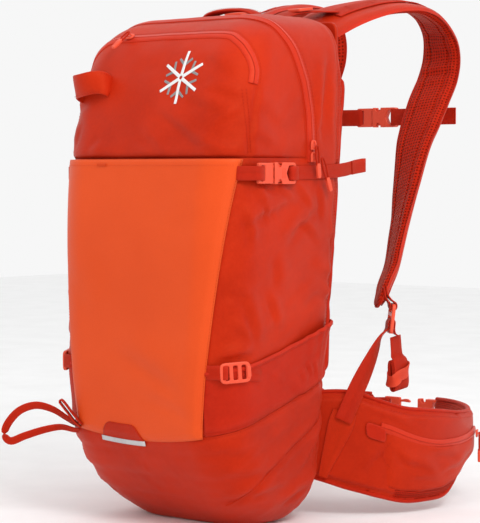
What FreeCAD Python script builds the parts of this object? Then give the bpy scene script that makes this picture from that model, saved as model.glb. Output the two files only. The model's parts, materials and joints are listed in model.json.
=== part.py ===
"""Ski touring backpack: a fabric bag on a frame sheet, with its lid, pockets, harness, belt and hardware.

Frame: +X is the wearer's right, +Y is the way the wearer faces (the back panel faces +Y), +Z is up.
The origin lies on the flat base, in the plane of symmetry. Millimetres.
"""

import FreeCAD, Part
import math
import os

Vector = FreeCAD.Vector

# ---- Bag body: (height, half width, front, back, corner radius) of each level ----
LEVELS = [
    (0, 78, -14, 66, 38),
    (8, 94, -26, 78, 45),
    (36, 114, -58, 92, 50),
    (85, 122, -92, 96, 52),
    (150, 125, -102, 98, 52),
    (230, 127, -102, 102, 50),
    (320, 128, -98, 112, 48),
    (400, 128, -90, 120, 46),
    (450, 127, -82, 124, 46),
    (492, 124, -70, 126, 44),
    (524, 118, -52, 126, 42),
    (545, 104, -24, 124, 34),
    (556, 80, 10, 118, 26),
]
FABRIC = 3.0            # lined and padded bag wall
FAR = 400.0             # reach of cutting blocks to the sides, past everything
BELOW = -20.0           # reach of cutting blocks down and up
ABOVE = 620.0
EDGE_GAP = 0.2          # between the bag and the pads on its back

# ---- Seams between the bag's panels ----
BASE_SEAM = [(-FAR, 18.6), (FAR, 252.9)]                     # (y, z): rises towards the back
FRONT_SEAM = [(-60, BELOW), (-60, 420), (-22, 560), (-22, ABOVE)]   # (y, z)
BACK_SEAM = [(58, BELOW), (108, ABOVE)]                      # (y, z)
TOP_SEAM_Z = 524
LID_Z = 400.0           # fold line of the lid
LID_GAP = 0.5           # half of the gap round the lid
ZIP_PATH = [(41, 388), (41, 400), (39.5, 450), (33, 486), (20, 520), (-2, 550), (-10, 590)]
ZIP_END_Z = 395.8
TAPE_WIDTH = 6.0
TAPE_PROUD = 1.5

# ---- Front pocket panel and its trim ----
PANEL_PROUD = 5.0
PANEL_REACH_Y = -40.0        # the panel and its trim lie in front of this plane
TRIM_THICK = 1.6
PANEL_TOP_Z = 399.0
PANEL_BOTTOM_Z = 105.0
PANEL_TOP_HALF = 122.0
PANEL_BOTTOM_HALF = 90.0
TAB_TOP = (-44, 4, 113)      # x from, x to, z
TAB_BOTTOM = (-52, 12, 96)
STRIP_HEIGHT = 5.0

# ---- Side pockets ----
POCKET_PROUD = 2.5
POCKET_EDGE = [(-92, 176), (75, 220)]     # (y, z) of the elastic top edge
POCKET_FRONT_Y = -92
POCKET_BACK_Y = 64
POCKET_FRONT_X = 97.8        # where the pocket starts on the bag's front corner
POCKET_BACK_X = 80.0
POCKET_REACH_Z = 300.0

# ---- Frame, back panel and lumbar pad ----
SHEET_THICK = 1.6
SHEET_HALF = 86.0
SHEET_GAP = 2.2              # between the sheet and the back wall
SHEET_Z = (160, 480)
STAY_SIZE = (12.0, 3.0)      # width, thickness
STAY_X = 45.0
STAY_Z = (170, 470)
PAD_THICK = 16.0
PAD_HALF = 110.0
PAD_Z = (152, 500)
LUMBAR_HALF = 114.0
LUMBAR_Z = (36, 147)
LUMBAR_FACE = [(118, 147), (122, 92), (114, 36)]      # (y, z) of its face, from the top
LUMBAR_EAR = [(100, 100), (120, 108), (123, 128), (128, 134), (124, 139), (108, 121)]   # (x, y)
LUMBAR_EAR_Z = (44, 130)
YOKE = ((-96, 96), (126.4, 131.4), (505, 554))

# ---- Webbing ----
WEB = 20.0
WEB_THICK = 1.6
COMPRESSION_WEB = 15.0

# ---- Shoulder strap, right: centre, direction across, width, thickness ----
STRAP = [
    ((58, 132, 545), (0.96, 0.0, -0.28), 66, 11),
    ((64, 171, 562), (0.95, -0.05, -0.30), 66, 11),
    ((71, 210, 573), (0.95, -0.15, -0.25), 66, 11),
    ((78, 250, 580), (0.95, -0.22, -0.20), 66, 11),
    ((83, 290, 580), (0.95, -0.28, -0.18), 66, 11),
    ((86, 322, 570), (0.94, -0.28, -0.20), 66, 11),
    ((89, 341, 549), (0.94, -0.25, -0.22), 65, 11),
    ((90, 345, 524), (0.95, -0.22, -0.20), 64, 11),
    ((91, 336, 498), (0.95, -0.22, -0.20), 64, 11),
    ((93, 314, 468), (0.95, -0.23, -0.20), 64, 11),
    ((96, 292, 438), (0.95, -0.27, -0.15), 64, 11),
    ((99, 274, 410), (0.93, -0.35, -0.10), 62, 11),
    ((104, 253, 365), (0.87, -0.48, -0.05), 60, 11),
    ((110, 232, 322), (0.78, -0.62, 0.0), 58, 11),
    ((118, 207, 281), (0.72, -0.69, 0.0), 52, 11),
    ((125, 181, 254), (0.70, -0.71, 0.0), 44, 10),
    ((129, 164, 234), (0.70, -0.71, 0.0), 34, 8),
]
STRAP_LOCK = ((140, 173, 220), (-0.08, -0.08, -1.0), (0.7, 0.7, -0.1))   # centre, down, outward
STRAP_WEB = [
    ((136.5, 166.5, 206), (0.70, -0.71, 0.0), WEB, WEB_THICK),
    ((132.5, 148, 182), (0.40, -0.88, 0.2), WEB, WEB_THICK),
    ((127.0, 122, 144), (0.0, -0.96, 0.28), WEB, WEB_THICK),
]
GUSSET = [
    ((126.8, 120.5, 142.5), (0.0, -0.9, 0.4), 22, 1.6),
    ((126.6, 110, 118), (0.0, -0.97, 0.24), 38, 1.6),
    ((125.0, 94, 84), (0.0, -0.97, 0.24), 32, 1.6),
    ((121.0, 76, 48), (0.0, -0.97, 0.24), 16, 1.6),
]
LIFTER = [
    ((40, 92, 558.5), (1.0, 0.0, 0.0), WEB, WEB_THICK),
    ((44, 112, 566), (1.0, 0.0, 0.0), WEB, WEB_THICK),
    ((50, 136, 568), (0.98, 0.0, -0.2), WEB, WEB_THICK),
    ((57, 158, 569), (0.95, 0.0, -0.3), WEB, WEB_THICK),
]
HAUL_HANDLE = [
    ((-38, 60, 556.9), (0, 1, 0), WEB, 2.4),
    ((-33, 60, 562), (0, 1, 0), WEB, 2.4),
    ((-24, 60, 565.5), (0, 1, 0), WEB, 2.4),
    ((0, 60, 567), (0, 1, 0), WEB, 2.4),
    ((24, 60, 565.5), (0, 1, 0), WEB, 2.4),
    ((33, 60, 562), (0, 1, 0), WEB, 2.4),
    ((38, 60, 556.9), (0, 1, 0), WEB, 2.4),
]

# ---- Rolled end of the shoulder webbing, hanging from the ladder lock ----
ROLL_PIN = Vector(146, 178, 200)
ROLL_TAIL = 24.0
ROLL_SIZE = (12, 27, 38)      # x, y, z
ROLL_CHAMFER = 7.0

# ---- Ladder locks ----
LOCK_LENGTH = 34.0
LOCK_THICK = 4.0
LOCK_CORNER = 5.0
LOCK_SLOTS = (-12.0, -2.5, 7.0)   # start of each slot along the lock
LOCK_SLOT = 5.0                   # length of a slot along the lock
LOCK_RIM = 3.5                    # frame beside the slots
STRAP_LOCK_WIDTH = 28.0
LOWER_LOCK_WIDTH = 22.0

# ---- Side-release buckles ----
BUCKLE_WIDTH = 23.0
MALE_LENGTH = 24.0
MALE_THICK = 4.4
MALE_SLOT = (4.0, 10.0)           # from the webbing end
FEMALE_LENGTH = 36.0
FEMALE_THICK = 8.0
FEMALE_CORNER = 3.0
SLOT_EDGE = 3.5                   # frame left beside each webbing slot
SOCKET = (17.0, 2.0, 3.8)         # depth, side wall, height
SOCKET_WINDOW = (5.0, 12.0)       # side openings for the prongs
NOTCH = (20.0, 24.0, 32.0)        # point of the webbing slot, its shoulders and its far edge
PRONG_LENGTH = 15.0
PRONG_THICK = 2.6
PRONG_WIDTH = 3.6
PRONG_INSET = 4.6
MIDDLE_PRONG = (14.0, 5.0)        # length, width
BUCKLE_FIT = 0.4

# ---- Upper compression straps ----
UPPER_Z = 384.0
UPPER_JOIN_Y = -34.0
UPPER_BUCKLE_X = 134.8
UPPER_REAR = [
    ((129.2, -2, 384), (0, 0, 1), COMPRESSION_WEB, WEB_THICK),
    ((129.2, 76, 386), (0, 0, 1), COMPRESSION_WEB, WEB_THICK),
    ((126.5, 104, 388), (0, 0, 1), COMPRESSION_WEB, WEB_THICK),
    ((121.5, 124, 390), (0, 0, 1), COMPRESSION_WEB, WEB_THICK),
    ((118.5, 140, 392), (0, 0, 1), COMPRESSION_WEB, 3.2),
]
UPPER_FRONT = [
    ((119.5, -79.5, 384), (0, 0, 1), COMPRESSION_WEB, WEB_THICK),
    ((127.5, -70, 384), (0, 0, 1), COMPRESSION_WEB, WEB_THICK),
    ((134.8, -58.4, 384), (0, 0, 1), COMPRESSION_WEB, WEB_THICK),
]

# ---- Lower compression straps ----
LOWER_LOCK = ((122, -79.5, 177), (0.5, 0.866, 0.14), (0.866, -0.5, 0.0))   # centre, along, outward
LOWER_WEB = [
    ((99, -101, 178), (0, 0, 1), COMPRESSION_WEB, WEB_THICK),
    ((110, -93, 177), (0, 0, 1), COMPRESSION_WEB, WEB_THICK),
    ((122, -75, 178), (0, 0, 1), COMPRESSION_WEB, WEB_THICK),
    ((129, -50, 182), (0, 0, 1), COMPRESSION_WEB, WEB_THICK),
    ((129.6, -24, 187), (0, 0, 1), COMPRESSION_WEB, WEB_THICK),
]

# ---- Loops on the wearer's left: ski loop and small tool tab at the base, pole loop on the lid ----
LOOP_ROOT = Vector(-93, -93, 101)
LOOP_OUT = Vector(-0.8, -0.6, 0)
SKI_LOOP = [(2, 3), (15, 12), (30, 22), (48, 26), (66, 20), (80, 4), (84, -8), (76, -14), (60, -7), (38, -1),
            (20, 2), (4, -3)]          # (out, up) from the root
LOOP_WEB = 10.0
LOOP_THICK = 1.8
TOOL_TAB = [(0, 8), (8, 18), (17, 30)]      # (out, up) from the root
TOOL_TAB_SHIFT = 14.0
TOOL_TAB_THICK = 4.0
POLE_LOOP = [(-104, 12), (-104, 0), (-107, -13), (-98, -25), (-84, -29), (-70, -26), (-61, -14), (-64, 0),
             (-64, 12)]                # (x, out)
POLE_LOOP_Y = -70.0
POLE_LOOP_Z = (470, 494)
POLE_LOOP_THICK = 2.0

# ---- Lid pocket zip: (x, z) of its centre line on the right half ----
LID_POCKET_ZIP = [(0, 532), (76, 531), (98, 524), (112, 510), (119, 494), (121, 478)]
LID_POCKET_TAPE = 8.0
LID_POCKET_END_X = 115.0     # past it the tape runs straight down
LID_POCKET_REACH_Y = -12.0
LID_SLOPE = Vector(0, -0.6, 0.8)
LID_SLIDER_X = -58.0
LID_SLIDER_Z = 532.0

# ---- Zip sliders and pulls ----
SLIDER = (9.0, 11.0, 4.0)     # width, length, height
SLIDER_CORNER = 2.0
SLIDER_CLEAR = 0.4
MAIN_SLIDER_Y = 41.0
UPPER_SLIDER_Z = 414.4
LOWER_SLIDER_Z = 401.4
PULL_OUT = 2.6               # pin of a pull above its slider
PULL_DROP = 2.0
PULL_CORD = (3.0, 2.0)       # width, thickness
PULL_GRIP = (6.0, 3.6, 16.0)     # width, thickness, length
UPPER_PULL = (-1.0, 34.0, 0.12)  # y from the slider, reach, lean
LOWER_PULL = (9.0, 38.0, 0.42)
LID_PULL_REACH = 30.0

# ---- Hip belt: a ring in plan, round the wearer ----
RING_Y = 232.0
RING_OUT = 178.0
RING_THICK = 14.0
WING = [(-36, 26, 137), (-24, 15, 120), (-11, 13, 116), (0, 15, 112), (13, 38, 107), (22, 49, 105),
        (33, 56, 104), (60, 62, 104), (76, 68, 103)]      # (angle, bottom, top)
BELT_POCKET = [(-32, 34, 98), (-20, 30, 88), (-6, 30, 80), (13, 46, 80), (28, 54, 80)]
BELT_POCKET_THICK = 5.0
BELT_SLIDER_ANGLE = 24.0
BELT_SLIDER_Z = 85.0
BELT_PULL = (6.0, 26.0, 3.0)      # width, length, thickness
BELT_Z = 84.0
BELT_WEB = [
    ((62, 402, BELT_Z), (0, 0, 1), 25, WEB_THICK),
    ((42, 408.4, BELT_Z), (0, 0, 1), 25, WEB_THICK),
    ((24, 410.8, BELT_Z), (0, 0, 1), 25, WEB_THICK),
]
BELT_BUCKLE = 30.0
BELT_FEMALE_X = 8.0
BELT_MALE_X = -20.0
BELT_BUCKLE_Y = 416.6

# ---- Sternum strap ----
STERNUM_Y = 324.0
STERNUM_Z = 452.0
STERNUM_END = 122.0
STERNUM_BUCKLE = 24.0
STERNUM_BUCKLE_OUT = 5.4     # middle of the buckle in front of the webbing
STERNUM_BEND_X = (-36, -19)  # the left webbing bends out to its buckle between these


def block(x0, x1, y0, y1, z0, z1):
    """Axis-aligned box between two corners."""
    return Part.makeBox(x1 - x0, y1 - y0, z1 - z0, Vector(x0, y0, z0))


def prism(points, direction):
    """Solid swept by a closed flat outline."""
    outline = Part.makePolygon([Vector(*p) for p in points] + [Vector(*points[0])])
    return Part.Face(outline).extrude(direction)


def prism_yz(points, x0=-FAR, x1=FAR):
    """Outline in the YZ plane, swept from x0 to x1."""
    return prism([(x0, y, z) for y, z in points], Vector(x1 - x0, 0, 0))


def prism_xz(points, y0, y1):
    """Outline in the XZ plane, swept from y0 to y1."""
    return prism([(x, y0, z) for x, z in points], Vector(0, y1 - y0, 0))


def between(table, x):
    """Row of a table at x, in straight lines between its rows."""
    for low, high in zip(table, table[1:]):
        if x <= high[0]:
            t = (x - low[0]) / (high[0] - low[0])
            return [a + (b - a) * t for a, b in zip(low, high)]
    return list(table[-1])


def level_wire(level, outset):
    """Rounded rectangle of one level of the bag, grown by outset."""
    z, half, front, back, radius = level
    r = radius + outset
    corners = [
        (half - radius, back - radius, 0),
        (radius - half, back - radius, 90),
        (radius - half, front + radius, 180),
        (half - radius, front + radius, 270),
    ]
    edges = []
    previous = None
    for cx, cy, start in corners:
        points = []
        for turn in (0, 45, 90):
            angle = math.radians(start + turn)
            points.append(Vector(cx + r * math.cos(angle), cy + r * math.sin(angle), z))
        if previous is not None:
            edges.append(Part.LineSegment(previous, points[0]).toShape())
        edges.append(Part.Arc(*points).toShape())
        previous = points[2]
    edges.append(Part.LineSegment(previous, edges[0].Vertexes[0].Point).toShape())
    return Part.Wire(edges)


def bag(outset):
    """The whole bag as one solid, grown by outset, or shrunk where it is negative."""
    levels = [list(level) for level in LEVELS]
    levels[0][0] -= outset
    levels[-1][0] += outset
    return Part.makeLoft([level_wire(level, outset) for level in levels], True, True)


def ribbon(stations):
    """Strap of rectangular section through stations of (centre, across, width, thickness)."""
    centres = [Vector(*s[0]) for s in stations]
    wires = []
    for i, (_, across, width, thick) in enumerate(stations):
        ahead = centres[min(i + 1, len(centres) - 1)]
        behind = centres[max(i - 1, 0)]
        along = (ahead - behind).normalize()
        side = Vector(*across)
        side = (side - along * side.dot(along)).normalize()
        out = along.cross(side)
        corners = [
            centres[i] + side * (u * width / 2) + out * (v * thick / 2)
            for u, v in ((1, 1), (-1, 1), (-1, -1), (1, -1))
        ]
        wires.append(Part.makePolygon(corners + [corners[0]]))
    return Part.makeLoft(wires, True, True)


def placed(shape, origin, along, out):
    """Shape moved so that its X runs along, and its Z points out, from the origin."""
    u = Vector(*along).normalize()
    n = Vector(*out)
    n = (n - u * n.dot(u)).normalize()
    v = n.cross(u)
    matrix = FreeCAD.Matrix(
        u.x, v.x, n.x, origin[0],
        u.y, v.y, n.y, origin[1],
        u.z, v.z, n.z, origin[2],
        0, 0, 0, 1,
    )
    moved = shape.copy()
    moved.transformShape(matrix)
    return moved


def mirrored(shape):
    """The same piece on the wearer's left."""
    return shape.mirror(Vector(0, 0, 0), Vector(1, 0, 0))


def pair(shape):
    """A piece and its mirror image, as two separate solids."""
    return Part.makeCompound([shape, mirrored(shape)])


def save(name, shape):
    """One file for each node."""
    shape.exportStep("parts/%s.step" % name)


# ---- Bag panels ----

def lid_region(gap):
    """Space in front of the main zip and above the fold line, shrunk by gap."""
    edge = [(y - gap, max(z, LID_Z + gap)) for y, z in ZIP_PATH[1:]]
    return prism_yz([(-FAR, LID_Z + gap)] + edge + [(-FAR, ZIP_PATH[-1][1])])


def make_bag_panels(outer):
    """Sewn panels of the bag wall and of its lid."""
    wall = outer.cut(bag(-FABRIC))
    below = prism_yz([(-FAR, BELOW), BASE_SEAM[0], BASE_SEAM[1], (FAR, BELOW)])
    front = prism_yz([(-FAR, BELOW)] + FRONT_SEAM + [(-FAR, ABOVE)])
    back = prism_yz([(FAR, BELOW)] + BACK_SEAM + [(FAR, ABOVE)])
    top = block(-FAR, FAR, -FAR, FAR, TOP_SEAM_Z, ABOVE)

    fixed = wall.cut(lid_region(-LID_GAP))
    save("base_panel", fixed.common(below))
    fixed = fixed.cut(below)
    save("hood_top", fixed.common(top))
    fixed = fixed.cut(top)
    save("back_wall", fixed.common(back))
    fixed = fixed.cut(back)
    save("front_wall", fixed.common(front))
    save_sides("side_wall", fixed.cut(front))

    lid = wall.common(lid_region(LID_GAP))
    save("lid_top", lid.common(top))
    lid = lid.cut(top)
    save("lid_front", lid.common(front))
    save_sides("lid_side", lid.cut(front))


def save_sides(name, shape):
    """Right and left halves of a shape, as two nodes."""
    save(name + "_right", shape.common(block(0, FAR, -FAR, FAR, BELOW, ABOVE)))
    save(name + "_left", shape.common(block(-FAR, 0, -FAR, FAR, BELOW, ABOVE)))


def make_main_zip(outer):
    """Tapes of the main zip, one on the bag and one on the lid."""
    skin = bag(TAPE_PROUD).cut(outer)
    for name, near, far, low in (
        ("main_zip_rear_tape", LID_GAP, LID_GAP + TAPE_WIDTH, ZIP_END_Z),
        ("main_zip_front_tape", -LID_GAP, -LID_GAP - TAPE_WIDTH, LID_Z + LID_GAP),
    ):
        inner_edge = [(y + near, z) for y, z in ZIP_PATH]
        outer_edge = [(y + far, z) for y, z in reversed(ZIP_PATH)]
        band = prism_yz(inner_edge + outer_edge)
        save(name, skin.common(band).common(block(-FAR, FAR, -FAR, FAR, low, ABOVE)))


def panel_space():
    """Space that the front panel fills, down to the bag's inside."""
    outline = [
        (-PANEL_BOTTOM_HALF, PANEL_BOTTOM_Z),
        (PANEL_BOTTOM_HALF, PANEL_BOTTOM_Z),
        (PANEL_TOP_HALF, PANEL_TOP_Z),
        (-PANEL_TOP_HALF, PANEL_TOP_Z),
    ]
    return bag(PANEL_PROUD).common(prism_xz(outline, -FAR, PANEL_REACH_Y))


def make_front_pocket(outer, panel):
    """Smooth front panel, with its pull tab and reflective strip."""
    save("front_panel", panel.cut(outer))

    trim = bag(PANEL_PROUD + TRIM_THICK)
    above = block(-FAR, FAR, -FAR, PANEL_REACH_Y, PANEL_BOTTOM_Z, ABOVE)
    beneath = block(-FAR, FAR, -FAR, PANEL_REACH_Y, 0, PANEL_BOTTOM_Z)
    skin = trim.cut(bag(PANEL_PROUD)).common(above).fuse(trim.cut(outer).common(beneath))
    strip_top = TAB_BOTTOM[2] + STRIP_HEIGHT
    tab = [(TAB_TOP[0], TAB_TOP[2]), (TAB_TOP[1], TAB_TOP[2]), (TAB_BOTTOM[1], strip_top),
           (TAB_BOTTOM[0], strip_top)]
    strip = [(TAB_BOTTOM[0], strip_top), (TAB_BOTTOM[1], strip_top), (TAB_BOTTOM[1], TAB_BOTTOM[2]),
             (TAB_BOTTOM[0], TAB_BOTTOM[2])]
    save("front_panel_tab", skin.common(prism_xz(tab, -FAR, PANEL_REACH_Y)))
    save("reflective_strip", skin.common(prism_xz(strip, -FAR, PANEL_REACH_Y)))


def make_side_pockets(outer):
    """Stretch pockets, lying flat on the sides below their elastic edge."""
    slope = (BASE_SEAM[1][1] - BASE_SEAM[0][1]) / (2 * FAR)
    seam_z = {y: BASE_SEAM[0][1] + slope * (y + FAR) for y in (POCKET_FRONT_Y, POCKET_BACK_Y)}
    region = prism_yz([
        (POCKET_FRONT_Y, seam_z[POCKET_FRONT_Y]),
        (POCKET_BACK_Y, seam_z[POCKET_BACK_Y]),
        (POCKET_BACK_Y, between(POCKET_EDGE, POCKET_BACK_Y)[1]),
        (POCKET_FRONT_Y, POCKET_EDGE[0][1]),
    ])
    skin = bag(POCKET_PROUD).cut(outer).common(region)
    skin = skin.cut(block(-POCKET_FRONT_X, POCKET_FRONT_X, -FAR, 0, 0, POCKET_REACH_Z))
    skin = skin.cut(block(-POCKET_BACK_X, POCKET_BACK_X, -FAR, FAR, 0, POCKET_REACH_Z))
    save_sides("side_pocket", skin)


# ---- Frame and padding ----

def back_line(low, high, offset):
    """Points (y, z) up the middle of the bag's back, offset from its outer face."""
    heights = [low] + [level[0] for level in LEVELS if low < level[0] < high] + [high]
    return [(between(LEVELS, z)[3] + offset, z) for z in heights]


def back_plate(low, high, offset, thick, x0, x1):
    """Plate that follows the line of the bag's back."""
    near = back_line(low, high, offset)
    far = [(y + thick, z) for y, z in reversed(near)]
    return prism_yz(near + far, x0, x1)


def yoke():
    """Stiffened plate at the top of the back, where the harness is sewn on."""
    (x0, x1), (y0, y1), (z0, z1) = YOKE
    return block(x0, x1, y0, y1, z0, z1)


def make_frame():
    """Frame sheet and its two stays, inside the back wall, with the pads outside it."""
    sheet_offset = -FABRIC - SHEET_GAP - SHEET_THICK
    sheet = back_plate(SHEET_Z[0], SHEET_Z[1], sheet_offset, SHEET_THICK, -SHEET_HALF, SHEET_HALF)
    stay_width, stay_thick = STAY_SIZE
    stay = back_plate(STAY_Z[0], STAY_Z[1], sheet_offset - stay_thick, stay_thick,
                      STAY_X - stay_width / 2, STAY_X + stay_width / 2)
    save("frame_sheet", sheet)
    save("frame_stays", pair(stay.cut(sheet)))
    save("back_pad", back_plate(PAD_Z[0], PAD_Z[1], EDGE_GAP, PAD_THICK, -PAD_HALF, PAD_HALF))
    pad = prism_yz(back_line(LUMBAR_Z[0], LUMBAR_Z[1], EDGE_GAP) + LUMBAR_FACE, -LUMBAR_HALF, LUMBAR_HALF)
    low, high = LUMBAR_EAR_Z
    ear = prism([(x, y, low) for x, y in LUMBAR_EAR], Vector(0, 0, high - low)).cut(bag(EDGE_GAP))
    save("lumbar_pad", pad.fuse([ear, mirrored(ear)]).removeSplitter())
    save("harness_yoke", yoke())


# ---- Hardware ----

def centred(length, width, height, corner=0.0):
    """Block round the origin, with its upright edges rounded."""
    body = block(-length / 2, length / 2, -width / 2, width / 2, -height / 2, height / 2)
    if not corner:
        return body
    return body.makeFillet(corner, [e for e in body.Edges if abs(e.Vertexes[0].Z - e.Vertexes[1].Z) > 1])


def ladder_lock(width):
    """Slotted strap adjuster, long along X."""
    reach = width / 2 - LOCK_RIM
    body = centred(LOCK_LENGTH, width, LOCK_THICK, LOCK_CORNER)
    for x in LOCK_SLOTS:
        body = body.cut(block(x, x + LOCK_SLOT, -reach, reach, -LOCK_THICK, LOCK_THICK))
    return body


def buckle_male(width=BUCKLE_WIDTH):
    """Half with prongs: its shoulder is at X = 0, its prongs point along +X."""
    half = width / 2
    thick = MALE_THICK / 2
    start, end = (x - MALE_LENGTH for x in MALE_SLOT)
    body = block(-MALE_LENGTH, 0, -half + 0.5, half - 0.5, -thick, thick)
    body = body.cut(block(start, end, -half + SLOT_EDGE, half - SLOT_EDGE, -MALE_THICK, MALE_THICK))
    rise = PRONG_THICK / 2
    length, middle = MIDDLE_PRONG
    prongs = [block(-1, length, -middle / 2, middle / 2, -rise, rise)]
    for side in (-1, 1):
        y = side * (half - PRONG_INSET)
        prongs.append(block(-1, PRONG_LENGTH, y - PRONG_WIDTH / 2, y + PRONG_WIDTH / 2, -rise, rise))
    return body.fuse(prongs).removeSplitter()


def buckle_female(width=BUCKLE_WIDTH):
    """Half with the socket: its mouth is just past X = 0, its webbing slot at the far end."""
    half = width / 2
    length = FEMALE_LENGTH - BUCKLE_FIT
    body = centred(length, width, FEMALE_THICK, FEMALE_CORNER)
    body.translate(Vector(BUCKLE_FIT + length / 2, 0, 0))
    depth, wall, height = SOCKET
    body = body.cut(block(-1, depth, -half + wall, half - wall, -height / 2, height / 2))
    window = block(SOCKET_WINDOW[0], SOCKET_WINDOW[1], -width, width, -height / 2, height / 2)
    body = body.cut(window)
    point, shoulder, end = NOTCH
    edge = half - SLOT_EDGE
    outline = [(point, 0), (shoulder, -edge), (end, -edge), (end, edge), (shoulder, edge)]
    slot = prism([(x, y, -FEMALE_THICK) for x, y in outline], Vector(0, 0, 2 * FEMALE_THICK))
    return body.cut(slot)


def make_upper_straps(outer, panel):
    """Upper compression straps, each with its side-release buckle."""
    rear = ribbon(UPPER_REAR).cut(outer)
    front = ribbon(UPPER_FRONT).cut(outer).cut(panel)
    save("compression_straps", Part.makeCompound([rear, front, mirrored(rear), mirrored(front)]))
    spot = (UPPER_BUCKLE_X, UPPER_JOIN_Y, UPPER_Z)
    male = placed(buckle_male(), spot, (0, 1, 0), (1, 0, 0))
    female = placed(buckle_female(), spot, (0, 1, 0), (1, 0, 0))
    save("compression_buckle_males", pair(male))
    save("compression_buckle_right", female)
    save("compression_buckle_left", mirrored(female))


def make_lower_straps(outer, panel, pocket):
    """Lower compression straps, each through a ladder lock."""
    web = ribbon(LOWER_WEB).cut(outer).cut(panel).cut(pocket)
    lock = placed(ladder_lock(LOWER_LOCK_WIDTH), *LOWER_LOCK).cut(web).cut(outer).cut(pocket)
    save("lower_compression_straps", pair(web))
    save("lower_ladder_locks", pair(lock))


# ---- Harness ----

def make_harness(outer):
    """Shoulder straps, their adjusters and webbing, load lifters and haul handle."""
    strap = ribbon(STRAP).cut(yoke())
    save("shoulder_strap_right", strap)
    save("shoulder_strap_left", mirrored(strap))
    lock = placed(ladder_lock(STRAP_LOCK_WIDTH), *STRAP_LOCK).cut(strap)
    web = ribbon(STRAP_WEB).cut(lock)
    gusset = ribbon(GUSSET).cut(outer).cut(web)
    save("strap_ladder_locks", pair(lock))
    save("strap_webbing", pair(web))
    save("strap_gussets", pair(gusset))
    save("load_lifters", pair(ribbon(LIFTER).cut(outer).cut(strap)))
    save("haul_handle", ribbon(HAUL_HANDLE).cut(outer))

    width, depth, height = ROLL_SIZE
    pin = ROLL_PIN
    tail = block(pin.x - WEB_THICK / 2, pin.x + WEB_THICK / 2, pin.y - WEB / 2, pin.y + WEB / 2,
                 pin.z - ROLL_TAIL, pin.z)
    roll = block(pin.x - width / 2, pin.x + width / 2, pin.y - depth / 2, pin.y + depth / 2,
                 pin.z - ROLL_TAIL - height, pin.z - ROLL_TAIL)
    across = [e for e in roll.Edges if abs(e.Vertexes[0].X - e.Vertexes[1].X) > 1]
    roll = tail.fuse(roll.makeChamfer(ROLL_CHAMFER, across)).removeSplitter()
    save("webbing_roll_right", roll)
    save("webbing_roll_left", mirrored(roll))


def make_sternum():
    """Sternum strap across the chest, with its side-release buckle."""
    spot = (0, STERNUM_Y + STERNUM_BUCKLE_OUT, STERNUM_Z)
    bend, end = STERNUM_BEND_X
    male = placed(buckle_male(STERNUM_BUCKLE), spot, (1, 0, 0), (0, 1, 0))
    up = (0, 0, 1)
    right = ribbon([((x, STERNUM_Y, STERNUM_Z), up, WEB, WEB_THICK) for x in (16, STERNUM_END)])
    left = ribbon([((x, y, STERNUM_Z), up, WEB, WEB_THICK) for x, y in
                   ((-STERNUM_END, STERNUM_Y), (bend, STERNUM_Y), (end, spot[1]))])
    left = max(left.cut(male).Solids, key=lambda solid: solid.Volume)
    save("sternum_webbing", Part.makeCompound([right, left]))
    save("sternum_buckle_male", male)
    save("sternum_buckle_female", placed(buckle_female(STERNUM_BUCKLE), spot, (1, 0, 0), (0, 1, 0)))


# ---- Hip belt ----

def ring_point(angle, radius, z):
    """Point on the belt's ring, on the wearer's right."""
    a = math.radians(angle)
    return Vector(radius * math.cos(a), RING_Y + radius * math.sin(a), z)


def ring_band(table, inner, outer_radius, step=6):
    """Curved band round the ring: the table gives its bottom and top at each angle."""
    count = max(2, round((table[-1][0] - table[0][0]) / step))
    wires = []
    for i in range(count + 1):
        angle = table[0][0] + (table[-1][0] - table[0][0]) * i / count
        _, low, high = between(table, angle)
        corners = [ring_point(angle, r, z) for r, z in
                   ((inner, low), (outer_radius, low), (outer_radius, high), (inner, high))]
        wires.append(Part.makePolygon(corners + [corners[0]]))
    return Part.makeLoft(wires, True, True)


def make_belt():
    """Padded wings with their pockets, webbing and buckle halves."""
    wing = ring_band(WING, RING_OUT - RING_THICK, RING_OUT)
    pocket = ring_band(BELT_POCKET, RING_OUT, RING_OUT + BELT_POCKET_THICK).cut(wing)
    web = ribbon(BELT_WEB).cut(wing)
    width, length, height = SLIDER
    reach = RING_OUT + BELT_POCKET_THICK + SLIDER_CLEAR
    spot = ring_point(BELT_SLIDER_ANGLE, reach + height / 2, BELT_SLIDER_Z)
    out = ring_point(BELT_SLIDER_ANGLE, 1, 0) - ring_point(BELT_SLIDER_ANGLE, 0, 0)
    pull_width, pull_length, pull_thick = BELT_PULL
    pull = centred(pull_width, pull_length, pull_thick)
    pull.translate(Vector(0, -(length + pull_length) / 2, (height - pull_thick) / 2))
    slider = centred(width, length, height).fuse(pull).removeSplitter()
    slider = placed(slider, spot, (-out.y, out.x, 0), out)
    for side, turn in (("right", lambda s: s), ("left", mirrored)):
        save("belt_wing_" + side, turn(wing))
        save("belt_pocket_" + side, turn(pocket))
        save("belt_webbing_" + side, turn(web))
        save("belt_slider_" + side, turn(slider))
    for name, half, x in (
        ("belt_buckle_female", buckle_female(BELT_BUCKLE), BELT_FEMALE_X),
        ("belt_buckle_male", buckle_male(BELT_BUCKLE), BELT_MALE_X),
    ):
        save(name, placed(half, (x, BELT_BUCKLE_Y, BELT_Z), (1, 0, 0), (0, 1, 0)))


# ---- Loops ----

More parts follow.
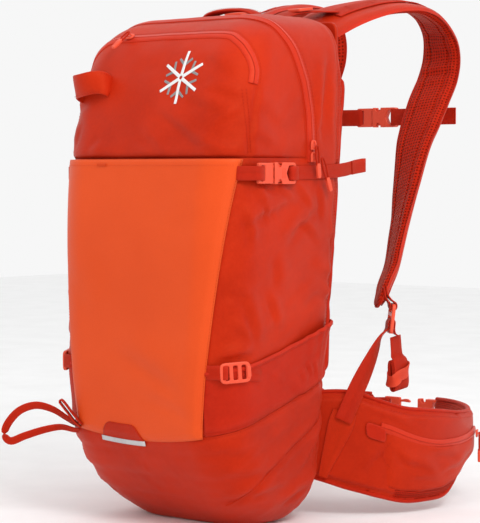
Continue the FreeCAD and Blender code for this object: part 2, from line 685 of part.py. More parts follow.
def make_loops(outer, panel):
    """Ski loop, small tool tab and pole loop, all on the wearer's left."""
    flat = Vector(-LOOP_OUT.y, LOOP_OUT.x, 0)

    def spot(out, up):
        return tuple(LOOP_ROOT + LOOP_OUT * out + Vector(0, 0, up))

    across = tuple(flat * 0.75 + Vector(0, 0, 0.5) + LOOP_OUT * 0.3)
    loop = ribbon([(spot(out, up), across, LOOP_WEB, LOOP_THICK) for out, up in SKI_LOOP])
    save("ski_loop", loop.cut(outer).cut(panel))
    tab = ribbon([(tuple(Vector(*spot(out, up)) + flat * TOOL_TAB_SHIFT), tuple(flat), LOOP_WEB,
                   TOOL_TAB_THICK) for out, up in TOOL_TAB])
    save("tool_tab", tab.cut(outer).cut(panel))

    low, high = POLE_LOOP_Z
    middle = (low + high) / 2
    band = ribbon([((x, POLE_LOOP_Y + out, middle), (0, 0, 1), high - low, POLE_LOOP_THICK)
                   for x, out in POLE_LOOP])
    save("pole_loop", band.cut(outer))


# ---- Lid pocket zip and the sliders ----

def make_lid_pocket_zip(outer):
    """Arched tape of the lid pocket, on the lid's outer face."""
    half = LID_POCKET_TAPE / 2
    right = LID_POCKET_ZIP
    line = [(-x, z) for x, z in reversed(right[1:])] + right
    widen = half / right[-1][0]
    above = [(x * (1 + widen), z + (half if abs(x) < LID_POCKET_END_X else 0)) for x, z in line]
    beneath = [(x * (1 - widen), z - (half if abs(x) < LID_POCKET_END_X else 0)) for x, z in reversed(line)]
    band = prism_xz(above + beneath, -FAR, LID_POCKET_REACH_Y)
    save("lid_pocket_zip", bag(TAPE_PROUD).cut(outer).common(band))


def slider_block():
    """Zip slider: X across the zip, Y along it, Z outward from its underside."""
    body = centred(*SLIDER, SLIDER_CORNER)
    body.translate(Vector(0, 0, SLIDER[2] / 2))
    return body


def pull_tab(reach):
    """Corded zip pull that hangs along -Y from its pin at the origin."""
    cord_width, cord_thick = PULL_CORD
    grip_width, grip_thick, grip_length = PULL_GRIP
    cord_length = reach - grip_length + 2
    cord = centred(cord_width, cord_length, cord_thick)
    cord.translate(Vector(0, -cord_length / 2, 0))
    grip = centred(grip_width, grip_length, grip_thick)
    grip.translate(Vector(0, grip_length / 2 - reach, 0))
    return cord.fuse(grip).removeSplitter()


def make_sliders():
    """Sliders and pulls of the main zip and of the lid pocket."""
    side = between(LEVELS, LID_Z)[1] + TAPE_PROUD + SLIDER_CLEAR
    height = SLIDER[2]
    for name, z, (shift, reach, lean) in (
        ("upper", UPPER_SLIDER_Z, UPPER_PULL),
        ("lower", LOWER_SLIDER_Z, LOWER_PULL),
    ):
        spot = (side, MAIN_SLIDER_Y, z)
        save("main_slider_" + name, placed(slider_block(), spot, (0, 1, 0), (1, 0, 0)))
        pin = (side + height + PULL_OUT, MAIN_SLIDER_Y + shift, z - PULL_DROP)
        save("main_pull_" + name, placed(pull_tab(reach), pin, (0, 1, lean), (1, 0, 0)))

    out = LID_SLOPE
    lift = TAPE_PROUD + 2 * SLIDER_CLEAR
    base = Vector(LID_SLIDER_X, between(LEVELS, LID_SLIDER_Z)[2], LID_SLIDER_Z) + out * lift
    save("lid_pocket_slider", placed(slider_block(), base, (0, -out.z, out.y), out))
    pin = base + out * (height + PULL_OUT)
    save("lid_pocket_pull", placed(pull_tab(LID_PULL_REACH), pin, (1, 0, 0), out))


def main():
    os.makedirs("parts", exist_ok=True)
    outer = bag(0)
    panel = panel_space()
    make_bag_panels(outer)
    make_main_zip(outer)
    make_front_pocket(outer, panel)
    make_side_pockets(outer)
    make_frame()
    make_upper_straps(outer, panel)
    make_lower_straps(outer, panel, bag(POCKET_PROUD))
    make_harness(outer)
    make_sternum()
    make_belt()
    make_loops(outer, panel)
    make_lid_pocket_zip(outer)
    make_sliders()


main()
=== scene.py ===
"""Looks of a ski touring backpack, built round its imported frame.

Tables are in millimetres in the frame's axes: +X the wearer's right, +Y the way the wearer faces, +Z up.
Points become metres where a mesh is made.
"""

import json
import math

import bmesh
import bpy
import numpy as np
from mathutils import Matrix, Vector, noise
from mathutils.bvhtree import BVHTree

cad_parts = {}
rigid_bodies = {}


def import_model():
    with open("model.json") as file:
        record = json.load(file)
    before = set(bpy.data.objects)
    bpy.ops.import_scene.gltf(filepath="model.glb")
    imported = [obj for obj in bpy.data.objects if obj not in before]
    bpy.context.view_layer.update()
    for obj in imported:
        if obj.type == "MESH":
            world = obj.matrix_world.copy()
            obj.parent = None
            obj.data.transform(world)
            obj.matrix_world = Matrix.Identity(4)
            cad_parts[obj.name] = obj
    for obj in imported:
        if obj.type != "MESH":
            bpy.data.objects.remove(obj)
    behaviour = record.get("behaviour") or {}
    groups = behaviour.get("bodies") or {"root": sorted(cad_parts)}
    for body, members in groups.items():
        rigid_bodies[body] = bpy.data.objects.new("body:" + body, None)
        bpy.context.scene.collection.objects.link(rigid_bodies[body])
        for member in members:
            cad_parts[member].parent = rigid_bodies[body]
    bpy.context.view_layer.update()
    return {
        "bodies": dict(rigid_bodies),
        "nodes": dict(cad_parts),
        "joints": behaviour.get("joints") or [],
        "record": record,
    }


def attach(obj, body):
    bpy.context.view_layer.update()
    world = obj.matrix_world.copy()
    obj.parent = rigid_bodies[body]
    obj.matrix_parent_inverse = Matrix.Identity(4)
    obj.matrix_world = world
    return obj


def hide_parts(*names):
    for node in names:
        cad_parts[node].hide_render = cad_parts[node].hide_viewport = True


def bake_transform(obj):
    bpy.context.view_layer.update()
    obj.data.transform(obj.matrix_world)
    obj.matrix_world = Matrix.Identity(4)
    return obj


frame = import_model()
MM = 0.001

# ---- Bag section at each height: (height, half width, front, back, corner radius) ----
BAG = [
    (-1.0, 20, 14, 38, 10), (-0.5, 55, 0, 54, 26),
    (0, 78, -14, 66, 38), (8, 94, -26, 78, 45), (36, 114, -58, 92, 50), (85, 122, -92, 96, 52),
    (150, 125, -102, 98, 52), (230, 127, -102, 102, 50), (320, 128, -98, 112, 48),
    (400, 128, -90, 120, 46), (450, 127, -82, 124, 46), (492, 124, -70, 126, 44),
    (524, 118, -52, 126, 42), (545, 104, -24, 124, 34), (556, 80, 10, 118, 26),
    (559, 55, 34, 104, 18), (560, 14, 60, 76, 7),
]
BASE_SEAM = (105.0, 0.2929, -105.0)        # height, slope and the y of that height
FRONT_SEAM = [(-60, -20), (-60, 420), (-22, 560)]
BACK_SEAM = [(58, -20), (108, 620)]
LOW_SEAM = [(-46, 28), (-39, 46), (-22, 62), (16, 86), (50, 104), (74, 122), (92, 144)]
LID_Z = 400.0
ZIP = [(41, 394), (41, 412), (39.5, 450), (33, 486), (20, 520), (-2, 550), (-10, 590)]
PANEL_Z = (105.0, 399.0)
PANEL_HALF = (90.0, 122.0)
POCKET_TOP = [(-106, 172), (-60, 181), (-20, 190), (20, 202), (50, 212), (75, 222)]
LID_SIDE_SEAM = [(-60, 404), (-60, 440), (-59, 474)]
REAR_SEAM = [(76, 160), (84, 260), (92, 400), (99, 500)]
LID_ZIP = [(0, 532), (76, 531), (98, 524), (112, 510), (119, 494), (121, 478)]


# ---- Curves and sections ----

def smooth(table, t):
    """Catmull-Rom curve through the rows of a table, at row numbers t."""
    rows = np.asarray(table, float)
    last = len(rows) - 1
    t = np.atleast_1d(np.asarray(t, float))
    i = np.clip(np.floor(t).astype(int), 0, last - 1)
    f = (t - i)[:, None]
    a, b, c, d = rows[np.maximum(i - 1, 0)], rows[i], rows[i + 1], rows[np.minimum(i + 2, last)]
    return 0.5 * (2 * b + (c - a) * f + (2 * a - 5 * b + 4 * c - d) * f**2 + (3 * b - a - 3 * c + d) * f**3)


def distances(line):
    """Distance of each point along a line from its start."""
    return np.concatenate([[0], np.cumsum(np.linalg.norm(np.diff(line, axis=0), axis=1))])


def level(z, points):
    """Points of (x, y), all at one height."""
    return [(x, y, z) for x, y in points]


def evenly(table, step):
    """Points about one step apart along the smooth curve through a table."""
    fine = smooth(table, np.linspace(0, len(table) - 1, 24 * len(table)))
    run = distances(fine)
    at = np.linspace(0, run[-1], max(2, int(round(run[-1] / step)) + 1))
    return np.array([[np.interp(s, run, fine[:, k]) for k in range(fine.shape[1])] for s in at])


PROFILE = smooth(BAG, np.linspace(0, len(BAG) - 1, 800))


def section(z):
    """Half width, front, back and corner radius of the bag at heights z."""
    z = np.clip(z, 0.5, 556)
    return [np.interp(z, PROFILE[:, 0], PROFILE[:, k]) for k in (1, 2, 3, 4)]


def run_at_x(x, z):
    """Distance round the section from the front's centre line to the point at x on the front."""
    half, _, _, r = section(z)
    over = np.clip((x - (half - r)) / r, 0, 1)
    return np.where(x < half - r, x, half - r + r * np.arcsin(over))


def run_at_y(y, z):
    """Distance round the section from the front's centre line to the point at y on the side."""
    half, front, back, r = section(z)
    first = half - r + r * np.arccos(np.clip(1 - (y - front) / r, -1, 1))
    straight = half - r + r * math.pi / 2 + (y - front - r)
    last = half + back - front - 3 * r + r * math.pi / 2 + r * np.arcsin(np.clip((y - back + r) / r, 0, 1))
    return np.where(y < front + r, first, np.where(y < back - r, straight, last))


def around(run, z, lift=0.0):
    """Point on the bag at a distance round its section, on the wearer's right, lifted off the skin."""
    half, front, back, r = section(z)
    sign = np.where(run < 0, -1.0, 1.0)
    s = np.abs(run)
    flat, arc, depth = half - r, r * math.pi / 2, back - front - 2 * r
    turn1 = np.clip((s - flat) / r, 0, math.pi / 2)
    turn2 = np.clip((s - flat - arc - depth) / r, 0, math.pi / 2)
    angle = -math.pi / 2 + turn1 + turn2
    along_side = np.clip(s - flat - arc, 0, depth)
    back_run = np.maximum(s - flat - 2 * arc - depth, 0)
    x = np.minimum(s, flat) - back_run + np.cos(angle) * (r + lift)
    y = front + r + along_side + np.sin(angle) * (r + lift)
    return np.stack([sign * x, y, z + 0 * x], axis=-1)


# ---- Mesh helpers ----

def new_object(name, verts, faces, body, material, uvs=None, sharp=35):
    """Mesh object from points in millimetres, shaded smooth below the sharp angle."""
    mesh = bpy.data.meshes.new(name)
    mesh.from_pydata([tuple(v) for v in np.asarray(verts, float) * MM], [], [tuple(f) for f in faces])
    if uvs is not None:
        layer = mesh.uv_layers.new(name="cloth")
        corner = np.array([loop.vertex_index for loop in mesh.loops])
        layer.data.foreach_set("uv", (np.asarray(uvs, float)[corner] * MM).ravel())
    mesh.shade_smooth()
    mesh.set_sharp_from_angle(angle=math.radians(sharp))
    obj = bpy.data.objects.new(name, mesh)
    bpy.context.scene.collection.objects.link(obj)
    for item in material if isinstance(material, (list, tuple)) else [material]:
        mesh.materials.append(item)
    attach(obj, body)
    return obj


def grid_faces(rows, cols, close_rows=False, close_cols=False):
    """Quads of a grid of points."""
    faces = []
    for i in range(rows if close_rows else rows - 1):
        for j in range(cols if close_cols else cols - 1):
            a, b = i * cols + j, i * cols + (j + 1) % cols
            c, d = ((i + 1) % rows) * cols + (j + 1) % cols, ((i + 1) % rows) * cols + j
            faces.append((a, b, c, d))
    return faces


def grid_uvs(points):
    """Cloth coordinates of a grid: distance along its columns and along its rows."""
    p = np.asarray(points, float)
    across = np.linalg.norm(np.diff(p, axis=1), axis=2).mean(axis=0)
    along = np.linalg.norm(np.diff(p, axis=0), axis=2).mean(axis=1)
    u = np.concatenate([[0], np.cumsum(across)])
    v = np.concatenate([[0], np.cumsum(along)])
    return np.stack(np.meshgrid(u, v), axis=-1).reshape(-1, 2)


def sheet_grid(name, points, body, material, thick=0.0, flip=False):
    """Open sheet from a grid of points, given a thickness inward."""
    p = np.asarray(points, float)
    rows, cols = p.shape[:2]
    faces = grid_faces(rows, cols)
    if flip:
        faces = [f[::-1] for f in faces]
    obj = new_object(name, p.reshape(-1, 3), faces, body, material, grid_uvs(p))
    if thick:
        solid = obj.modifiers.new("thickness", "SOLIDIFY")
        solid.thickness = thick * MM
        solid.offset = -1
    return obj


def sweep(name, line, normals, outline, body, material, closed=False, scale=None, sharp=35):
    """Solid with an outline of (across, up) points carried along a line.

    scale gives shares of the outline's width and height at each point of the line.
    """
    line, normals = np.asarray(line, float), np.asarray(normals, float)
    n = len(line)
    if closed:
        ahead, behind = np.roll(line, -1, 0), np.roll(line, 1, 0)
    else:
        ahead, behind = line[np.minimum(np.arange(n) + 1, n - 1)], line[np.maximum(np.arange(n) - 1, 0)]
    along = unit(ahead - behind)
    up = unit(normals - along * np.sum(normals * along, axis=1, keepdims=True))
    side = np.cross(along, up)
    shape = np.asarray(outline, float)
    share = np.ones((n, 2)) if scale is None else np.asarray(scale, float)
    points = np.stack([
        line[i] + np.outer(shape[:, 0] * share[i, 0], side[i]) + np.outer(shape[:, 1] * share[i, 1], up[i])
        for i in range(n)
    ])
    cols = len(shape)
    faces = grid_faces(n, cols, close_rows=closed, close_cols=True)
    if not closed:
        faces += [tuple(range(cols)), tuple(range((n - 1) * cols, n * cols))[::-1]]
    edge = distances(shape)
    run = distances(line)
    uvs = np.stack(np.meshgrid(edge, run), axis=-1).reshape(-1, 2)
    return new_object(name, points.reshape(-1, 3), faces, body, material, uvs, sharp)


def unit(v):
    """Vectors of length one."""
    return v / np.maximum(np.linalg.norm(v, axis=-1, keepdims=True), 1e-12)


def tape_outline(width, thick, edge=0.5):
    """Section of flat webbing, its edges rounded, lying on its line."""
    w, e = width / 2, min(edge, thick * 0.45)
    return [(-w + e, 0), (-w, e), (-w, thick - e), (-w + e, thick), (-w * 0.5, thick), (0, thick),
            (w * 0.5, thick), (w - e, thick), (w, thick - e), (w, e), (w - e, 0), (0, 0)]


def round_outline(radius, count=10):
    """Circle as a section."""
    return [(radius * math.cos(2 * math.pi * i / count), radius * math.sin(2 * math.pi * i / count))
            for i in range(count)]


def join(name, objects):
    """One mesh from several pieces on the same body, with their materials."""
    keep = objects[0]
    bpy.ops.object.select_all(action="DESELECT")
    for obj in objects:
        obj.select_set(True)
    bpy.context.view_layer.objects.active = keep
    bpy.ops.object.join()
    keep.name = name
    return keep


# ---- Materials ----

def add(tree, kind, **values):
    """Node of a kind, with its settings and the sockets whose names match."""
    item = tree.nodes.new("ShaderNode" + kind)
    for key, value in values.items():
        if key in item.inputs:
            item.inputs[key].default_value = value
        else:
            setattr(item, key, value)
    return item


def ramp(tree, source, stops):
    """Colour ramp of (position, colour) stops from a socket."""
    item = add(tree, "ValToRGB")
    band = item.color_ramp.elements
    while len(band) < len(stops):
        band.new(0.5)
    for element, (position, colour) in zip(band, stops):
        element.position = position
        element.color = colour if len(colour) == 4 else (*colour, 1)
    tree.links.new(source, item.inputs["Fac"])
    return item.outputs["Color"]


def grey(value):
    """Neutral colour."""
    return (value, value, value, 1)


def math_node(tree, operation, a, b):
    """Sum, product or other operation on two sockets or numbers."""
    item = add(tree, "Math", operation=operation)
    for socket, value in zip(item.inputs, (a, b)):
        if isinstance(value, (int, float)):
            socket.default_value = value
        else:
            tree.links.new(value, socket)
    return item.outputs[0]


def multiplied(tree, colour, shade, share):
    """Colour darkened by a share of a grey socket."""
    item = add(tree, "Mix", data_type="RGBA", blend_type="MULTIPLY")
    item.inputs["Factor"].default_value = share
    tree.links.new(colour, item.inputs["A"])
    tree.links.new(shade, item.inputs["B"])
    return item.outputs["Result"]


def cloth_coordinates(tree, period):
    """Cloth coordinates scaled so that one pattern repeat is one unit each way."""
    spot = add(tree, "UVMap", uv_map="cloth")
    scaled = add(tree, "Mapping")
    scaled.inputs["Scale"].default_value = (1 / (period[0] * MM), 1 / (period[1] * MM), 1)
    tree.links.new(spot.outputs[0], scaled.inputs["Vector"])
    return scaled.outputs[0]


def weave_height(tree, period):
    """Crossing yarns: the product of waves along and across the cloth."""
    spot = cloth_coordinates(tree, period)
    waves = []
    for direction in "XY":
        wave = add(tree, "TexWave", wave_type="BANDS", bands_direction=direction, Scale=math.pi / 10)
        tree.links.new(spot, wave.inputs["Vector"])
        waves.append(wave.outputs["Fac"])
    return math_node(tree, "ADD", waves[0], waves[1])


def hole_height(tree, period):
    """Rows of small round holes, as 0 in the holes and 1 between them."""
    spot = cloth_coordinates(tree, period)
    cells = add(tree, "TexVoronoi", Scale=1.0, Randomness=0.15)
    tree.links.new(spot, cells.inputs["Vector"])
    return ramp(tree, cells.outputs["Distance"], [(0.16, grey(0)), (0.42, grey(1))])


def finish_material(name, dark, light, rough, weave=None, depth=0.1, grain=300, sheen=0.0, coat=0.0,
                    specular=0.3, metallic=0.0, holes=None, wear=0.25, cloud=11.0, tint=(1.0, 0.36, 0.16)):
    """Principled material: clouded colour, a painted highlight on sharp edges, varied roughness and a fine
    relief.
    """
    mat = bpy.data.materials.new(name)
    mat.use_nodes = True
    tree = mat.node_tree
    links = tree.links
    bsdf = tree.nodes["Principled BSDF"]
    place = add(tree, "TexCoord").outputs["Object"]
    broad = add(tree, "TexNoise", Scale=cloud, Detail=5.0, Roughness=0.6)
    fine = add(tree, "TexNoise", Scale=float(grain), Detail=3.0)
    for item in (broad, fine):
        links.new(place, item.inputs["Vector"])
    both = math_node(tree, "ADD", math_node(tree, "MULTIPLY", broad.outputs["Fac"], 0.8),
                     math_node(tree, "MULTIPLY", fine.outputs["Fac"], 0.2))
    colour = ramp(tree, both, [(0.36, dark), (0.62, light)])
    # painted highlight: the sharpest edges, found by pointiness, are screened towards a lighter tone of the
    # cloth
    edges = add(tree, "NewGeometry").outputs["Pointiness"]
    highlight_mask = ramp(tree, edges, [(0.505, grey(0)), (0.6, grey(wear))])
    mixed = add(tree, "Mix", data_type="RGBA", blend_type="SCREEN")
    links.new(highlight_mask, mixed.inputs["Factor"])
    links.new(colour, mixed.inputs["A"])
    mixed.inputs["B"].default_value = (*[min(1, 0.03 + 1.35 * c) for c in light[:3]], 1)
    out = mixed.outputs["Result"]
    height = None
    if holes is not None:
        height = hole_height(tree, holes)
        # painted shade: the colour is darkened inside each hole of the mesh
        out = multiplied(tree, out, height, 0.75)
    elif weave is not None:
        height = weave_height(tree, weave)
        shaded = ramp(tree, height, [(0.1, grey(0.86)), (1.6, grey(1.0))])
        out = multiplied(tree, out, shaded, 1.0)
    links.new(out, bsdf.inputs["Base Color"])
    gloss = add(tree, "MapRange")
    gloss.inputs["To Min"].default_value = rough[0]
    gloss.inputs["To Max"].default_value = rough[1]
    links.new(both, gloss.inputs["Value"])
    links.new(gloss.outputs["Result"], bsdf.inputs["Roughness"])
    relief = math_node(tree, "MULTIPLY", fine.outputs["Fac"], 0.5)
    if height is not None:
        relief = math_node(tree, "ADD", relief, height)
    bump = add(tree, "Bump", Strength=0.6, Distance=depth * MM)
    links.new(relief, bump.inputs["Height"])
    links.new(bump.outputs["Normal"], bsdf.inputs["Normal"])
    bsdf.inputs["Sheen Weight"].default_value = sheen
    bsdf.inputs["Sheen Roughness"].default_value = 0.4
    bsdf.inputs["Coat Weight"].default_value = coat
    bsdf.inputs["Coat Roughness"].default_value = 0.35
    bsdf.inputs["Specular IOR Level"].default_value = specular
    bsdf.inputs["Specular Tint"].default_value = (*tint, 1)
    bsdf.inputs["Sheen Tint"].default_value = (*tint, 1)
    bsdf.inputs["Metallic"].default_value = metallic
    return mat


def make_materials():
    """Every finish of the bag by name."""
    m = finish_material
    plain = (1.0, 1.0, 1.0)
    return {
        "nylon": m("red nylon", (0.42, 0.014, 0.0025), (0.53, 0.022, 0.004), (0.38, 0.56), (0.9, 0.9), 0.10,
                   sheen=0.06, wear=0.10),
        "base": m("red base nylon", (0.41, 0.013, 0.0025), (0.52, 0.020, 0.004), (0.40, 0.58), (1.1, 1.1),
                  0.16, sheen=0.06, wear=0.10),
        "lining": m("pale lining", (0.34, 0.33, 0.32), (0.42, 0.41, 0.40), (0.55, 0.75), (0.8, 0.8), 0.08,
                    tint=plain),
        "laminate": m("orange laminate", (0.66, 0.062, 0.009), (0.73, 0.074, 0.012), (0.36, 0.50),
                      (0.5, 0.5), 0.03, grain=700, sheen=0.03, wear=0.10, cloud=5.0, tint=(1.0, 0.55, 0.35)),
        "mesh": m("red spacer mesh", (0.36, 0.010, 0.003), (0.45, 0.015, 0.005), (0.62, 0.82), None, 0.5,
                  holes=(2.3, 2.3), sheen=0.1, specular=0.2),
        "strap_mesh": m("perforated strap mesh", (0.43, 0.013, 0.004), (0.53, 0.020, 0.006), (0.55, 0.75),
                        None, 0.6, holes=(4.0, 4.0), sheen=0.1, specular=0.2),
        "keeper": m("elastic keeper", (0.60, 0.045, 0.020), (0.68, 0.056, 0.026), (0.5, 0.65), (1.0, 1.0),
                    0.12),
        "webbing": m("red webbing", (0.38, 0.011, 0.003), (0.48, 0.016, 0.005), (0.55, 0.72), (1.3, 0.9),
                     0.22, sheen=0.1, specular=0.25),
        "binding": m("red binding", (0.43, 0.012, 0.004), (0.53, 0.018, 0.006), (0.48, 0.64), (0.9, 0.7),
                     0.15, sheen=0.08),
        "plastic": m("coral plastic", (0.70, 0.066, 0.028), (0.76, 0.078, 0.036), (0.30, 0.44), None, 0.05,
                     grain=900, coat=0.08, wear=0.3, tint=(1.0, 0.7, 0.6)),
        "zip": m("zip tape", (0.50, 0.022, 0.008), (0.58, 0.030, 0.012), (0.30, 0.42), (0.6, 0.6), 0.04,
                 sheen=0.05, wear=0.15),
        "coil": m("zip coil", (0.24, 0.008, 0.004), (0.34, 0.012, 0.006), (0.4, 0.5), None, 0.1),
        "silver": m("reflective tape", (0.46, 0.46, 0.47), (0.62, 0.62, 0.63), (0.28, 0.42), (1.0, 1.0),
                    0.10, metallic=0.35, wear=0.1, tint=plain),
        "stretch": m("stretch fabric", (0.42, 0.012, 0.004), (0.52, 0.018, 0.006), (0.50, 0.66), (0.7, 1.2),
                     0.14, sheen=0.08),
        "thread": m("red thread", (0.34, 0.009, 0.003), (0.44, 0.014, 0.005), (0.5, 0.7), None, 0.1,
                    sheen=0.1),
        "orange_thread": m("orange thread", (0.52, 0.042, 0.007), (0.62, 0.055, 0.010), (0.5, 0.7), None,
                           0.1),
        "white": m("pale embroidery", (0.62, 0.61, 0.60), (0.80, 0.79, 0.78), (0.4, 0.55), None, 0.1,
                   grain=1500, tint=plain),
        "grey": m("grey embroidery", (0.16, 0.15, 0.15), (0.26, 0.25, 0.25), (0.4, 0.55), None, 0.1,
                  grain=1500, tint=plain),
        "board": m("frame sheet plastic", (0.035, 0.035, 0.038), (0.06, 0.06, 0.065), (0.45, 0.6), None, 0.1,
                   tint=plain),
        "metal": m("stay aluminium", (0.60, 0.60, 0.62), (0.72, 0.72, 0.74), (0.25, 0.4), None, 0.05,
                   metallic=1.0, tint=plain),
        "floor": m("pale floor", (0.90, 0.90, 0.90), (0.94, 0.94, 0.94), (0.7, 0.85), None, 0.2, wear=0.0,
                   tint=plain),
    }


# ---- Relief of the bag's fabric ----

# Folds on the sides: (y, z) to (y, z), half width and height; on the lid's front: (x, z) to (x, z)
SIDE_FOLDS = [
    ((-76, 328), (18, 356), 9, 2.4), ((-10, 308), (60, 352), 10, 2.2), ((-60, 362), (-28, 340), 6, 1.6),
    ((-30, 372), (10, 352), 5, 1.5), ((12, 372), (40, 344), 6, 1.4), ((52, 372), (60, 330), 7, 1.3),
    ((-72, 262), (-46, 200), 9, 1.8), ((-88, 262), (-60, 256), 8, 1.0), ((56, 256), (86, 244), 7, 2.0),
    ((40, 282), (88, 268), 9, 1.6), ((-20, 300), (-16, 258), 12, 1.2), ((20, 240), (70, 262), 10, 1.2),
    ((-96, 190), (-52, 196), 6, 1.8), ((-50, 214), (0, 222), 9, 1.0), ((70, 330), (94, 300), 9, 1.6),
    ((-60, 425), (-20, 412), 8, 1.2), ((-52, 455), (-10, 440), 10, 0.9), ((60, 430), (76, 520), 9, 1.8),
    ((-64, 372), (-20, 338), 5, 2.0), ((-50, 372), (-34, 330), 4, 1.6), ((-70, 352), (-58, 306), 6, 1.6),
    ((6, 340), (58, 306), 7, 1.6), ((-36, 262), (-14, 214), 8, 1.4), ((-84, 230), (-58, 206), 6, 1.3),
    ((84, 410), (92, 500), 8, 1.5), ((56, 410), (62, 470), 7, 1.2), ((100, 420), (108, 505), 6, 1.3),
]
FRONT_FOLDS = [
    ((8, 456), (90, 408), 10, 2.2), ((40, 470), (118, 440), 9, 1.6), ((78, 476), (122, 462), 7, 1.5),
    ((-10, 430), (36, 404), 8, 1.2), ((96, 432), (122, 452), 5, 1.2), ((70, 420), (112, 404), 7, 1.8),
    ((-118, 452), (-88, 468), 8, 1.6), ((-112, 410), (-100, 440), 8, 1.5), ((-60, 420), (-84, 404), 8, 1.2),
    ((60, 512), (104, 490), 9, 1.2), ((-40, 500), (20, 506), 16, 0.8),
]
BASE_FOLDS = [
    ((-84, 60), (-10, 70), 9, 1.8), ((-60, 36), (20, 48), 8, 2.0), ((-30, 96), (50, 122), 10, 1.5),
    ((10, 22), (60, 48), 7, 2.2), ((30, 60), (70, 96), 8, 1.8), ((-100, 88), (-50, 92), 8, 1.3),
    ((40, 20), (80, 60), 7, 2.0), ((60, 80), (86, 130), 8, 1.6), ((-20, 52), (30, 86), 6, 1.0),
]
POCKET_GATHERS = [
    ((32, 180), (44, 162), 4, 1.6), ((42, 184), (54, 158), 4, 1.6), ((20, 176), (32, 154), 5, 1.2),
    ((-66, 172), (-40, 158), 6, 1.2), ((-30, 168), (-4, 160), 7, 1.0), ((0, 160), (40, 140), 9, 1.3),
]


def fold(flat, start, end, half, height):
    """Height of one soft crease: a ridge with a valley under it, fading out at both ends."""
    a, b = np.array(start, float), np.array(end, float)
    length = np.linalg.norm(b - a)
    along = (b - a) / length
    rel = flat - a
    t = rel @ along / length
    off = rel[:, 0] * -along[1] + rel[:, 1] * along[0]
    bend = 0.18 * length * t * (1 - t)
    off = off - bend
    fade = np.clip(1.15 - np.abs(2 * t - 1), 0, 1)
    fade = np.where((t < -0.1) | (t > 1.1), 0, fade * fade * (3 - 2 * fade))
    ridge = np.exp(-((off - 0.5 * half) / half) ** 2)
    valley = np.exp(-((off + 0.6 * half) / (0.55 * half)) ** 2)
    return height * fade * (ridge - 0.8 * valley)


def folds(flat, table, weight):
    """Sum of a table of creases, where weight is not zero."""
    out = np.zeros(len(flat))
    for start, end, half, height in table:
        out += fold(flat, start, end, half, height)
    return out * weight


def line_distance(flat, line):
    """Distance of flat points from a polyline."""
    best = np.full(len(flat), 1e9)
    for a, b in zip(line, line[1:]):
        a, b = np.array(a, float), np.array(b, float)
        t = np.clip(((flat - a) @ (b - a)) / ((b - a) @ (b - a)), 0, 1)
        best = np.minimum(best, np.linalg.norm(flat - a - t[:, None] * (b - a), axis=1))
    return best


def groove(distance, depth, half):
    """Valley along a seam, with the fabric puffed up on both sides of it."""
    valley = np.exp(-(distance / half) ** 2)
    puff = np.exp(-((distance - 3 * half) / (2 * half)) ** 2)
    return -depth * valley + 0.45 * depth * puff


def noise_at(points, size, seed):
    """Smooth noise of one size at points in millimetres; size may differ along each axis."""
    size = np.broadcast_to(np.asarray(size, float), (3,))
    return np.array([noise.noise(Vector(p)) for p in points / size + seed])


def crumple(points, seed, size=26.0):
    """Fine crumpling of light fabric, as creased ridges that lean forwards and down."""
    tilt = points.copy()
    tilt[:, 2] = points[:, 2] - 0.45 * points[:, 1] - 0.25 * np.abs(points[:, 0])
    wide = noise_at(tilt, (size * 2.4, size * 2.6, size), seed)
    narrow = noise_at(tilt, (size * 1.1, size * 1.2, size * 0.42), seed + 5.3)
    return (1 - 2.2 * np.abs(wide)) * 0.6 + 0.35 * (1 - 2.0 * np.abs(narrow)) - 0.35


def base_seam_z(y):
    """Height of the seam between the base and the walls."""
    z, slope, y0 = BASE_SEAM
    return z + slope * (y - y0)


